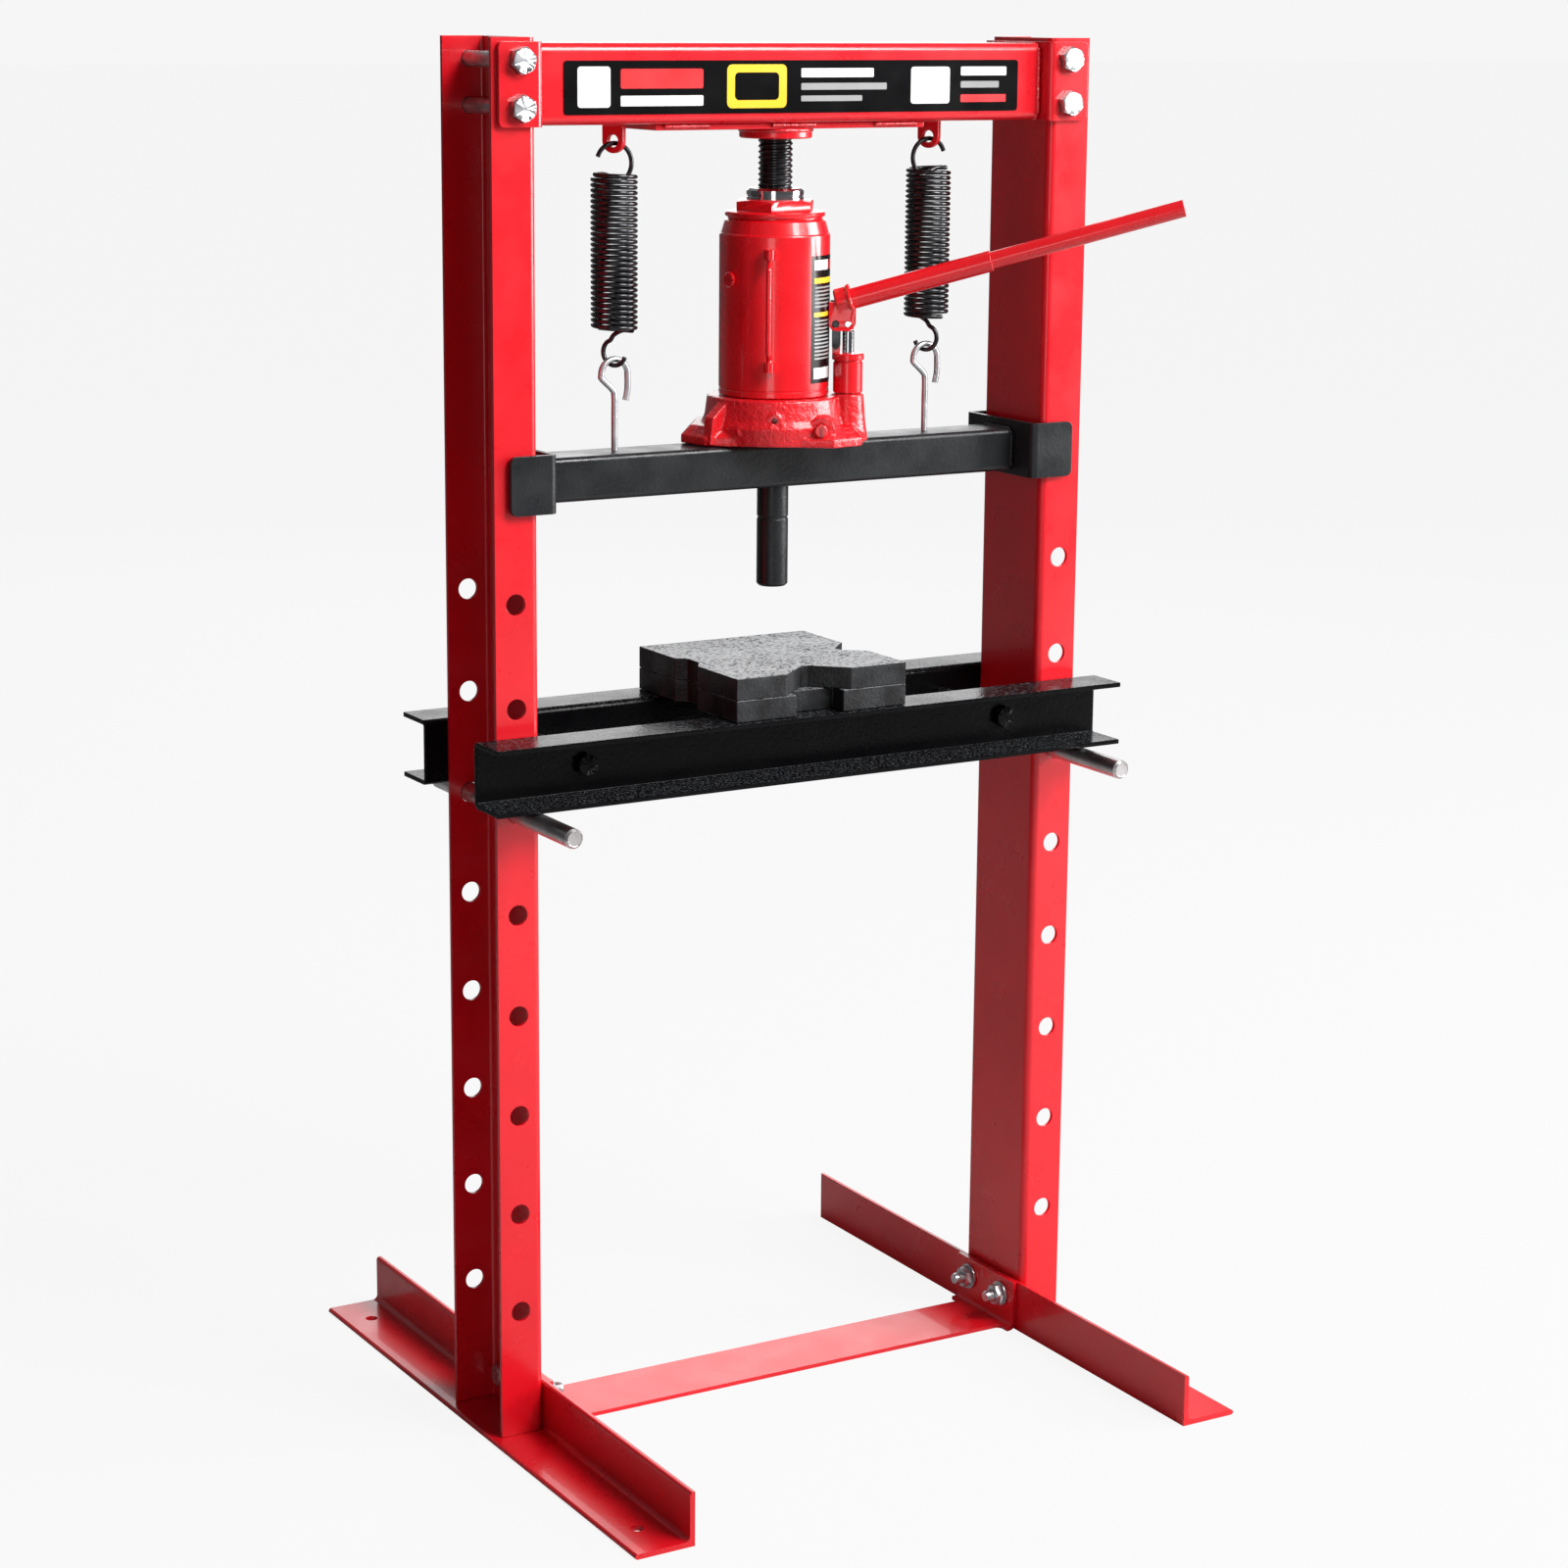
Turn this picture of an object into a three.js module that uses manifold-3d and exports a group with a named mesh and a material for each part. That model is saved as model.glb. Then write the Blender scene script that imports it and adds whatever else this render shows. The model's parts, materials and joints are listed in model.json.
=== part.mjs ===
// Free-standing hydraulic shop press, in millimetres, +Z up, origin on the floor at its centre.
import * as THREE from 'three';
import { mergeVertices } from 'three/addons/utils/BufferGeometryUtils.js';
import Module from 'manifold-3d';

const wasm = await Module();
wasm.setup();

// ---- driving dimensions -------------------------------------------------------------------------
const height = 1265; // floor to column top
const columnGap = 532; // between the inboard faces of the two columns
const footLength = 652; // front to back
const gap = 0.3; // between pieces that touch

// columns
const column = { depth: 100, flange: 43, sheet: 4, bend: 7 };
const pinHole = { play: 0.35, inset: 23, lowest: 124, pitch: 93.5, belowGuide: 60 };

// feet and cross brace
const foot = { height: 50, width: 58.3, thick: 5, root: 5, anchorRadius: 6, anchorInset: 46 };
const brace = { width: 73, tabWidth: 100, tabHeight: 50, thick: 4, bend: 8 };
const footBolt = { radius: 6, hex: 10.9, head: 7.5, washer: 2.5, spacing: 56, z: 32, tail: 9 };

// top beam
const beam = { height: 70, depth: 80, wall: 4, corner: 8, topDrop: 5 };
const bracket = { over: 1, ear: 43.3, thick: 5, bend: 7, topDrop: 3.5 };
const topBolt = { radius: 7, hex: 12.1, head: 8, washer: 2.5, inset: 17, spacing: 40, tail: 6 };
const doubler = { eyeGap: 25, width: 60, thick: 5.3 };
const cup = { radius: 33, wall: 4, height: 8.6 };
const sign = { inset: 25.4, height: 46, thick: 0.8, drop: 3 };

// springs and their hooks
const eye = { x: 165, radius: 10.8, hole: 5.5, thick: 6, drop: 14.8, turn: -60 };
const spring = {
  radius: 19, wire: 2.1, turns: 20, topGap: 29, bottomGap: 23.4,
  topHook: 17.4, lowHook: 11.6, lowTurn: -60, topSeat: 1.4, lowSeat: 0.8,
};
const springHook = { wire: 2.8, loop: 13.2, rise: 82.5, neck: 14, tail: 24, foot: 30 };

// moving beam
const mover = { height: 40, depth: 50, wall: 4, corner: 5 };
const guide = { inset: 16, thick: 5, bend: 7, height: 52, flange: 46, below: 4, play: 2 };
const mandrel = { radius: 14.5, length: 94 };

// bottle jack
const jackTurn = 35; // degrees from +X towards the front, where the pump faces
const base = {
  leftLip: 18, rightLip: 16, halfDepth: 58, chamfer: 24, edge: 8, flare: 9,
  collarWall: 13.6, taper: 3, height: 43, ribAngles: [135, 225], rib: 12, ribReach: 13, ribHeight: 26,
};
const tank = { radius: 50.4, neckIn: 6.7, shoulder: 144, neck: 3.6, height: 166, wall: 4 };
const tankNut = { hex: 38.6, height: 10 };
const ram = { radius: 26, length: 165, out: 10, boreDepth: 95 };
const screw = { radius: 15.6, play: 0.8, out: 45.6, length: 91, pitch: 5, threads: 9, thread: 1.5 };
const saddle = { radius: 22, height: 7, gap: 0.6 };
const filler = { angle: -136, z: 149, radius: 5, head: 7, headThick: 3.4 };
const carry = { low: 72, high: 173, reach: 9, wire: 2.5, lug: 5.5, lugWidth: 10, lugHeight: 9, over: 3.5 };
const valve = { x: 48, z: 16, boss: 12, stem: 5.9, out: 7, faceIn: 12 };

// pump and handle
const pump = {
  radius: 13.5, tankGap: 4.1, bossWall: 1.5, bossTop: 45, height: 30, capWall: 1.1, capHeight: 6,
  lugHalf: 3, lugWidth: 7, lugOver: 4.5,
};
const plunger = { radius: 5.3, over: 4, sunk: 19 };
const link = { tankGap: 6.6, low: 7, span: 20, half: 3.6, plate: 3, over: 4, pin: 2.7 };
const socket = {
  cheek: 4.5, mouthX: 13, mouthZ: 22, round: 7, back: 14, wall: 3.3, lip: 1.6, lipLength: 3, rise: 16,
  slot: 0.7, slide: 0.6,
};
const lowerTube = { radius: 9.7, wall: 1.3, length: 143, inSocket: 11 };
const upperTube = { play: 0.5, wall: 1.3, length: 219, inLower: 40 };

// bed
const bed = { overhang: 22, height: 60, flange: 47.7, web: 4.5, bend: 6, daylight: 60 };
const spacer = { columnGap: 42, rise: 30, tube: 10, bolt: 6, hex: 10.9, head: 7 };
const bedPin = { radius: 8.9, front: 161, back: 112, chamfer: 2.5 };
const plate = { width: 180, depth: 185, thick: 20 };

// ---- helpers ------------------------------------------------------------------------------------
const paint = (color, roughness, metalness) => new THREE.MeshStandardMaterial({
  color, roughness, metalness,
});
const redPaint = () => paint(0xe01020, 0.35, 0);
const blackPaint = () => paint(0x1b1d20, 0.4, 0);
const zinc = () => paint(0xb9bcc0, 0.35, 0.9);
const blackSteel = () => paint(0x141414, 0.45, 0.6);
const brightSteel = () => paint(0xcfd2d6, 0.2, 1);

const press = new THREE.Group();

function toSolid(geometry) {
  const bare = geometry.clone();
  bare.deleteAttribute('normal');
  bare.deleteAttribute('uv');
  const merged = mergeVertices(bare, 1e-4);
  const index = merged.index.array;
  const faces = [];
  for (let i = 0; i < index.length; i += 3) {
    const [a, b, c] = [index[i], index[i + 1], index[i + 2]];
    if (a !== b && b !== c && c !== a) faces.push(a, b, c);
  }
  return new wasm.Manifold(new wasm.Mesh({
    numProp: 3,
    vertProperties: new Float32Array(merged.attributes.position.array),
    triVerts: new Uint32Array(faces),
  }));
}

function toGeometry(solid) {
  const mesh = solid.getMesh();
  const geometry = new THREE.BufferGeometry();
  geometry.setAttribute('position', new THREE.BufferAttribute(mesh.vertProperties, 3));
  geometry.setIndex(new THREE.BufferAttribute(mesh.triVerts, 1));
  return geometry;
}

// The first geometry, with the others joined to it.
const join = (...parts) => toGeometry(parts.map(toSolid).reduce((whole, part) => whole.add(part)));
// The first geometry, with the others cut out of it.
const cut = (body, ...tools) => toGeometry(
  tools.map(toSolid).reduce((rest, tool) => rest.subtract(tool), toSolid(body)));

function box(low, high) {
  const size = low.map((value, i) => high[i] - value);
  return new THREE.BoxGeometry(...size).translate(...low.map((value, i) => value + size[i] / 2));
}

// A cylinder centred on a point, along 'x', 'y' or 'z'.
function rod(radius, length, axis, centre, sides = 16, topRadius = radius) {
  const geometry = new THREE.CylinderGeometry(topRadius, radius, length, sides);
  if (axis === 'x') geometry.rotateZ(-Math.PI / 2);
  if (axis === 'z') geometry.rotateX(Math.PI / 2);
  return geometry.translate(...centre);
}

// An outline in X and Y, raised along Z.
const raise = (outline, from, to) => new THREE.ExtrudeGeometry(outline, {
  depth: to - from, bevelEnabled: false, curveSegments: 3,
}).translate(0, 0, from);

// A round profile of [radius, z] points that starts and ends on the axis, turned about Z.
const turn = (points, sides = 28) => new THREE.LatheGeometry(
  points.map(([radius, z]) => new THREE.Vector2(radius, z)), sides).rotateX(Math.PI / 2);

// A wire of round section along a curve.
function wire(curve, radius, steps, sides) {
  const section = new THREE.Shape();
  for (let i = 0; i < sides; i += 1) {
    const angle = 2 * Math.PI * i / sides;
    const point = [radius * Math.cos(angle), radius * Math.sin(angle)];
    if (i === 0) section.moveTo(...point);
    else section.lineTo(...point);
  }
  return new THREE.ExtrudeGeometry(section, { steps, extrudePath: curve, bevelEnabled: false });
}

function piece(name, geometry, material, parent = press) {
  const mesh = new THREE.Mesh(geometry, material);
  mesh.name = name;
  parent.add(mesh);
  return mesh;
}

// A bent channel section: the web's outer face on X = 0, the flanges towards +X.
function channel(depth, flange, thick, bend) {
  const half = depth / 2;
  const inner = bend - thick;
  const shape = new THREE.Shape();
  shape.moveTo(flange, -half);
  shape.lineTo(flange, -half + thick);
  shape.absarc(bend, -half + bend, inner, -Math.PI / 2, -Math.PI, true);
  shape.absarc(bend, half - bend, inner, Math.PI, Math.PI / 2, true);
  shape.lineTo(flange, half - thick);
  shape.lineTo(flange, half);
  shape.absarc(bend, half - bend, bend, Math.PI / 2, Math.PI, false);
  shape.absarc(bend, -half + bend, bend, Math.PI, 1.5 * Math.PI, false);
  return shape;
}

// A rounded box section in X and Y.
function roundedBox(width, depth, corner) {
  const [x, y] = [width / 2 - corner, depth / 2 - corner];
  const shape = new THREE.Shape();
  shape.absarc(x, y, corner, 0, Math.PI / 2, false);
  shape.absarc(-x, y, corner, Math.PI / 2, Math.PI, false);
  shape.absarc(-x, -y, corner, Math.PI, 1.5 * Math.PI, false);
  shape.absarc(x, -y, corner, 1.5 * Math.PI, 2 * Math.PI, false);
  return shape;
}

// A square tube along X, centred on X and Y, between two heights.
function squareTube(length, low, top, depth, wall, corner) {
  const shape = roundedBox(top - low, depth, corner);
  shape.holes.push(roundedBox(top - low - 2 * wall, depth - 2 * wall, Math.max(corner - wall, 1)));
  return raise(shape, -length / 2, length / 2).rotateY(Math.PI / 2).translate(0, 0, (low + top) / 2);
}

// ---- places shared by several pieces ------------------------------------------------------------
const sides = [{ name: 'left', sign: -1, turn: Math.PI }, { name: 'right', sign: 1, turn: 0 }];
const ends = [{ name: 'front', sign: -1 }, { name: 'rear', sign: 1 }];
const columnFace = columnGap / 2;
const columnFront = column.depth / 2;
const pinHoleX = columnFace + pinHole.inset;
const footFace = columnFace - gap - foot.thick;
const braceEnd = footFace - gap;
const pinHoleRadius = bedPin.radius + pinHole.play;
const earInner = columnFront + gap;
const earOuter = earInner + bracket.thick;
const bracketFace = columnFace - gap - bracket.thick;
const beamTop = height - beam.topDrop;
const beamBottom = beamTop - beam.height;
const bracketTop = height - bracket.topDrop;
const bracketHeight = beam.height + 2 * bracket.over;
const topBoltX = columnFace + topBolt.inset;
const topBoltZ = [-1, 1].map((side) => bracketTop - bracketHeight / 2 + side * topBolt.spacing / 2);
const footBoltY = [-1, 1].map((side) => side * footBolt.spacing / 2);
const doublerBottom = beamBottom - gap - doubler.thick;
const cupTop = doublerBottom - gap;

// the jack's stack, from the saddle under the top beam down to the moving beam
const saddleTop = doublerBottom - saddle.gap;
const screwTop = saddleTop - saddle.height - gap;
const ramTop = screwTop - screw.out;
const tankLow = base.height + gap;
const tankTop = tankLow + tank.height;
const nutLow = tankTop + gap;
const moverTop = ramTop - ram.out - tankNut.height - nutLow - gap;
const moverBottom = moverTop - mover.height;
const mandrelTop = moverBottom - gap;
const guideFace = columnFace - guide.inset;
const guideLow = moverBottom - guide.below;
const highestPin = guideLow - pinHole.belowGuide - pinHoleRadius;
const pinHoleCount = Math.floor((highestPin - pinHole.lowest) / pinHole.pitch) + 1;

// A group for each side, turned so that local +X points outboard and X = 0 is at the given face.
function sideGroup(side, face) {
  const group = new THREE.Group();
  group.position.x = side.sign * face;
  group.rotation.z = side.turn;
  press.add(group);
  return group;
}

// ---- columns ------------------------------------------------------------------------------------
function columnGeometry() {
  const holes = [];
  for (let i = 0; i < pinHoleCount; i += 1) {
    const z = pinHole.lowest + i * pinHole.pitch;
    holes.push(rod(pinHoleRadius, column.depth + 2, 'y', [pinHole.inset, 0, z], 14));
  }
  for (const z of topBoltZ) {
    holes.push(rod(topBolt.radius + gap, column.depth + 2, 'y', [topBolt.inset, 0, z], 12));
  }
  for (const y of footBoltY) {
    holes.push(rod(footBolt.radius + gap, 3 * column.sheet, 'x', [0, y, footBolt.z], 12));
  }
  const section = channel(column.depth, column.flange, column.sheet, column.bend);
  return cut(raise(section, foot.thick + gap, height), ...holes);
}

for (const side of sides) {
  piece(`${side.name}_column`, columnGeometry(), redPaint(), sideGroup(side, columnFace));
}

// ---- feet and cross brace -----------------------------------------------------------------------
function footGeometry() {
  const section = new THREE.Shape();
  section.moveTo(0, 0);
  section.lineTo(foot.width, 0);
  section.lineTo(foot.width, foot.thick);
  const rootCentre = foot.thick + foot.root;
  section.absarc(rootCentre, rootCentre, foot.root, 1.5 * Math.PI, Math.PI, true);
  section.lineTo(foot.thick, foot.height);
  section.lineTo(0, foot.height);
  const bar = raise(section, -footLength / 2, footLength / 2).rotateX(Math.PI / 2);
  // the column stands in the root of the angle
  const seat = box([foot.thick, -columnFront - 1, foot.thick],
    [rootCentre + 1, columnFront + 1, rootCentre + 1]);
  const anchorX = (foot.width + foot.thick) / 2;
  const anchors = ends.map((end) => rod(foot.anchorRadius, 3 * foot.thick, 'z',
    [anchorX, end.sign * (footLength / 2 - foot.anchorInset), foot.thick / 2]));
  const bolts = footBoltY.map((y) => rod(footBolt.radius + gap, 3 * foot.thick, 'x',
    [0, y, footBolt.z], 12));
  return cut(bar, seat, ...anchors, ...bolts);
}

for (const side of sides) {
  piece(`${side.name}_foot`, footGeometry(), redPaint(), sideGroup(side, footFace));
}

function braceGeometry() {
  const flat = channel(2 * braceEnd, brace.tabHeight, brace.thick, brace.bend);
  // the section lies in Z and X, and is raised along Y
  const turned = new THREE.Matrix4().makeBasis(
    new THREE.Vector3(0, 0, 1), new THREE.Vector3(1, 0, 0), new THREE.Vector3(0, 1, 0));
  const bar = raise(flat, -brace.tabWidth / 2, brace.tabWidth / 2).applyMatrix4(turned);
  const waist = 2 * (braceEnd - brace.bend - 2);
  const trims = ends.map((end) => box(
    [-waist / 2, Math.min(end.sign * brace.width / 2, end.sign * brace.tabWidth), -1],
    [waist / 2, Math.max(end.sign * brace.width / 2, end.sign * brace.tabWidth), brace.tabHeight + 1]));
  const bolts = footBoltY.map((y) => rod(footBolt.radius + gap, 2 * braceEnd + 2, 'x',
    [0, y, footBolt.z], 12));
  return cut(bar, ...trims, ...bolts);
}

piece('cross_brace', braceGeometry(), redPaint());

// ---- bolts and nuts, head below Z = 0 and shank along +Z -----------------------------------------
const boltGeometry = (bolt, length) => join(
  rod(bolt.hex, bolt.head, 'z', [0, 0, -bolt.head / 2], 6),
  rod(bolt.radius, length + 1, 'z', [0, 0, length / 2 - 0.5], 12));

const nutThick = (bolt) => bolt.head + bolt.washer;

function nutGeometry(bolt) {
  const body = join(rod(bolt.hex * 1.15, bolt.washer, 'z', [0, 0, bolt.washer / 2], 16),
    rod(bolt.hex, nutThick(bolt), 'z', [0, 0, nutThick(bolt) / 2], 6));
  return cut(body, rod(bolt.radius + gap, 4 * bolt.head, 'z', [0, 0, 0], 12));
}

for (const side of sides) {
  footBoltY.forEach((y, i) => {
    const outboard = columnFace + column.sheet + gap;
    const inboard = braceEnd - brace.thick - gap;
    const length = outboard - inboard + nutThick(footBolt) + footBolt.tail;
    const bolt = piece(`foot_bolt_${side.name}_${ends[i].name}`, boltGeometry(footBolt, length), zinc());
    bolt.position.set(side.sign * outboard, y, footBolt.z);
    bolt.rotation.y = -side.sign * Math.PI / 2;
    const nut = piece(`foot_nut_${side.name}_${ends[i].name}`, nutGeometry(footBolt), zinc());
    nut.position.set(side.sign * inboard, y, footBolt.z);
    nut.rotation.y = -side.sign * Math.PI / 2;
  });
  topBoltZ.forEach((z, i) => {
    const level = ['lower', 'upper'][i];
    const length = 2 * (earOuter + gap) + nutThick(topBolt) + topBolt.tail;
    const bolt = piece(`top_bolt_${side.name}_${level}`, boltGeometry(topBolt, length), zinc());
    bolt.position.set(side.sign * topBoltX, -earOuter - gap, z);
    bolt.rotation.x = -Math.PI / 2;
    const nut = piece(`top_nut_${side.name}_${level}`, nutGeometry(topBolt), zinc());
    nut.position.set(side.sign * topBoltX, earOuter + gap, z);
    nut.rotation.x = -Math.PI / 2;
  });
}

// ---- top beam -----------------------------------------------------------------------------------
const beamEnd = bracketFace - gap;
piece('top_beam', squareTube(2 * beamEnd, beamBottom, beamTop, beam.depth, beam.wall, beam.corner),
  redPaint());

function bracketGeometry() {
  const section = channel(2 * earOuter, bracket.ear, bracket.thick, bracket.bend);
  const holes = topBoltZ.map((z) => rod(topBolt.radius + gap, 2 * earOuter + 2, 'y',
    [topBoltX - bracketFace, 0, z], 12));
  return cut(raise(section, bracketTop - bracketHeight, bracketTop), ...holes);
}

for (const side of sides) {
  piece(`top_bracket_${side.name}`, bracketGeometry(), redPaint(), sideGroup(side, bracketFace));
}

const doublerEnd = eye.x - doubler.eyeGap;
piece('top_doubler', box([-doublerEnd, -doubler.width / 2, doublerBottom],
  [doublerEnd, doubler.width / 2, beamBottom - gap]), redPaint());

piece('ram_cup', cut(rod(cup.radius, cup.height, 'z', [0, 0, cupTop - cup.height / 2], 32),
  rod(cup.radius - cup.wall, 2 * cup.height, 'z', [0, 0, cupTop - cup.height / 2], 32)), redPaint());

const signZ = (beamTop + beamBottom) / 2 - sign.drop;
const signEnd = beamEnd - sign.inset;
piece('sign_panel', box([-signEnd, -beam.depth / 2 - gap - sign.thick, signZ - sign.height / 2],
  [signEnd, -beam.depth / 2 - gap, signZ + sign.height / 2]), blackPaint());

// ---- spring eyes, springs and wire hooks ---------------------------------------------------------
const eyeZ = beamBottom - gap - eye.drop;

function eyeGeometry() {
  const shape = new THREE.Shape();
  shape.moveTo(eye.radius, eye.drop);
  shape.lineTo(-eye.radius, eye.drop);
  shape.absarc(0, 0, eye.radius, Math.PI, 2 * Math.PI, false);
  const hole = new THREE.Path();
  hole.absarc(0, 0, eye.hole, 0, 2 * Math.PI, true);
  shape.holes.push(hole);
  return new THREE.ExtrudeGeometry(shape, { depth: eye.thick, bevelEnabled: false, curveSegments: 8 })
    .rotateX(Math.PI / 2).translate(0, eye.thick / 2, eyeZ).rotateZ(THREE.MathUtils.degToRad(eye.turn));
}

const hookTop = moverTop + springHook.rise; // centre of the wire at the top of the loop
const coilTop = eyeZ - spring.topGap;
const coilBottom = hookTop + spring.bottomGap;

// An open hook in X and Z: from the coil's rim across to its middle, and round most of a circle.
function hookWire(radius, up, centre, coilEnd) {
  const points = [[-spring.radius, coilEnd], [-spring.radius / 2, coilEnd],
    [0, (coilEnd + centre - up * radius) / 2]];
  for (let i = 0; i <= 9; i += 1) {
    const angle = THREE.MathUtils.degToRad(-70 + 230 * i / 9);
    points.push([radius * Math.cos(angle), centre + up * radius * Math.sin(angle)]);
  }
  const curve = new THREE.CatmullRomCurve3(points.map(([x, z]) => new THREE.Vector3(x, 0, z)));
  return wire(curve, spring.wire, 26, 5);
}

// Close coils, with a large hook for the eye above and a small one, turned about Z, for the wire hook.
function springGeometry() {
  const perTurn = 6;
  const lowTurn = THREE.MathUtils.degToRad(spring.lowTurn);
  const angles = 2 * Math.PI * (spring.turns + 1) + lowTurn;
  const steps = Math.round(angles * perTurn / (2 * Math.PI));
  const points = [];
  for (let i = 0; i <= steps; i += 1) {
    const angle = Math.PI + angles * i / steps;
    const z = coilTop - (coilTop - coilBottom) * i / steps;
    points.push(new THREE.Vector3(spring.radius * Math.cos(angle), spring.radius * Math.sin(angle), z));
  }
  const coil = wire(new THREE.CatmullRomCurve3(points), spring.wire, steps, 4);
  const topCentre = eyeZ - eye.hole + spring.wire + spring.topSeat - spring.topHook;
  const lowCentre = hookTop - springHook.wire - spring.wire - spring.lowSeat + spring.lowHook;
  const topHook = hookWire(spring.topHook, 1, topCentre, coilTop);
  const lowHook = hookWire(spring.lowHook, -1, lowCentre, coilBottom).rotateZ(Math.PI + lowTurn);
  return join(coil, topHook, lowHook);
}

// A wire that rises from the beam, loops round and ends in a short tail.
function springHookGeometry() {
  const { loop, neck, tail, foot } = springHook;
  const centreZ = hookTop - loop;
  const points = [[0, moverTop + gap], [0, moverTop + foot], [0, centreZ - loop - neck / 2],
    [-2, centreZ - neck]];
  for (let i = 0; i <= 7; i += 1) {
    const angle = Math.PI * (1.1 - 1.1 * i / 7);
    points.push([loop * Math.cos(angle), centreZ + loop * Math.sin(angle)]);
  }
  points.push([loop, centreZ - neck], [loop - 2, centreZ - tail]);
  const curve = new THREE.CatmullRomCurve3(points.map(([x, z]) => new THREE.Vector3(x, 0, z)));
  return wire(curve, springHook.wire, 34, 6);
}

for (const side of sides) {
  const x = side.sign * eye.x;
  piece(`spring_eye_${side.name}`, eyeGeometry(), redPaint()).position.x = x;
  const coil = piece(`return_spring_${side.name}`, springGeometry(), blackSteel());
  coil.position.x = x;
  coil.rotation.z = Math.PI - side.turn;
  piece(`spring_hook_${side.name}`, springHookGeometry(), zinc()).position.x = x;
}

// ---- moving beam --------------------------------------------------------------------------------
const moverTube = squareTube(2 * (guideFace - gap), moverBottom, moverTop, mover.depth, mover.wall, mover.corner);
piece('moving_beam_tube', moverTube, blackPaint());

const guideDepth = 2 * (columnFront + guide.play + guide.thick);
for (const side of sides) {
  const section = channel(guideDepth, guide.flange, guide.thick, guide.bend);
  piece(`guide_${side.name}`, raise(section, guideLow, guideLow + guide.height), blackPaint(),
    sideGroup(side, guideFace));
}

piece('mandrel', rod(mandrel.radius, mandrel.length, 'z', [0, 0, mandrelTop - mandrel.length / 2], 28),
  blackPaint());

// ---- bottle jack, in a group whose local +X is the pump's side and Z = 0 is the beam's top --------
const collar = tank.radius + base.collarWall;
const pumpX = tank.radius + pump.tankGap + pump.radius;
const linkX = tank.radius + link.tankGap;
const bossFace = collar - valve.faceIn;
const jack = new THREE.Group();
jack.position.z = moverTop + gap;
jack.rotation.z = -THREE.MathUtils.degToRad(jackTurn);
press.add(jack);

function jackBaseGeometry() {
  const plan = new THREE.Shape();
  const { halfDepth, chamfer } = base;
  const [left, right] = [collar + base.leftLip, pumpX + base.rightLip];
  const corners = [[right - chamfer, -halfDepth], [right, -halfDepth + chamfer],
    [right, halfDepth - chamfer], [right - chamfer, halfDepth], [-left + chamfer, halfDepth],
    [-left, halfDepth - chamfer], [-left, -halfDepth + chamfer], [-left + chamfer, -halfDepth]];
  plan.setFromPoints(corners.map(([x, y]) => new THREE.Vector2(x, y)));
  const flared = new THREE.ExtrudeGeometry(plan, {
    depth: 2 * base.edge, bevelThickness: base.flare, bevelSize: base.flare, bevelOffset: -base.flare,
    bevelSegments: 1,
  }).translate(0, 0, -base.edge);
  const ring = rod(collar, base.height, 'z', [0, 0, base.height / 2], 36, collar - base.taper);
  const pumpBoss = rod(pump.radius + pump.bossWall, pump.bossTop, 'z', [pumpX, 0, pump.bossTop / 2], 20);
  const valveBoss = rod(valve.boss, bossFace / 2, 'y', [valve.x, -0.75 * bossFace, valve.z], 16);
  const ribs = base.ribAngles.map((angle) => box([collar / 2, -base.rib / 2, 0],
    [collar + base.ribReach, base.rib / 2, base.ribHeight]).rotateZ(THREE.MathUtils.degToRad(angle)));
  const whole = join(flared, ring, pumpBoss, valveBoss, ...ribs);
  const below = box([-2 * left, -2 * left, -50], [2 * left, 2 * left, 0]);
  const valveHole = rod(valve.stem + gap, 26, 'y', [valve.x, -bossFace, valve.z], 12);
  return cut(whole, below, valveHole);
}

piece('jack_base', jackBaseGeometry(), redPaint(), jack);

function jackTankGeometry() {
  const neck = tank.radius - tank.neckIn;
  const outer = turn([[0, tankLow], [tank.radius, tankLow], [tank.radius, tankLow + tank.shoulder],
    [tank.radius - 1, tankLow + tank.shoulder + 6], [neck + 1.5, tankTop - 1.4 * tank.neck],
    [neck, tankTop - tank.neck],
    [neck, tankTop], [0, tankTop]], 36);
  const ramBore = rod(ram.radius + gap, tank.height, 'z', [0, 0, tankTop - tank.height / 2 + 12], 28);
  const sleeve = ram.radius + tank.wall;
  const [low, high] = [tankLow + 6, tankLow + tank.shoulder];
  const oil = cut(rod(tank.radius - tank.wall, high - low, 'z', [0, 0, (low + high) / 2], 28),
    rod(sleeve, high - low + 2, 'z', [0, 0, (low + high) / 2], 28));
  const fillerHole = rod(filler.radius + gap, 30, 'x', [tank.radius, 0, filler.z], 12)
    .rotateZ(THREE.MathUtils.degToRad(filler.angle));
  const lugs = [carry.low, carry.high].map((z) => box(
    [-carry.lugWidth / 2, -tank.radius - carry.lug - carry.over, z - carry.lugHeight / 2],
    [carry.lugWidth / 2, -tank.radius + 2, z + carry.lugHeight / 2]));
  const lugHoles = rod(carry.wire + 2 * gap, carry.high - carry.low + 20, 'z',
    [0, -tank.radius - carry.lug, (carry.low + carry.high) / 2], 10);
  return cut(join(outer, ...lugs), ramBore, oil, fillerHole, lugHoles);
}

piece('jack_tank', jackTankGeometry(), redPaint(), jack);

piece('tank_nut', cut(rod(tankNut.hex, tankNut.height, 'z', [0, 0, nutLow + tankNut.height / 2], 6),
  rod(ram.radius + gap, 3 * tankNut.height, 'z', [0, 0, nutLow], 28)), redPaint(), jack);

const fillerPlug = join(rod(filler.radius, 8, 'x', [tank.radius - 3, 0, filler.z], 12),
  rod(filler.head, filler.headThick, 'x', [tank.radius + 0.6 + filler.headThick / 2, 0, filler.z], 16))
  .rotateZ(THREE.MathUtils.degToRad(filler.angle));
piece('filler_plug', fillerPlug, redPaint(), jack);

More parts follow.
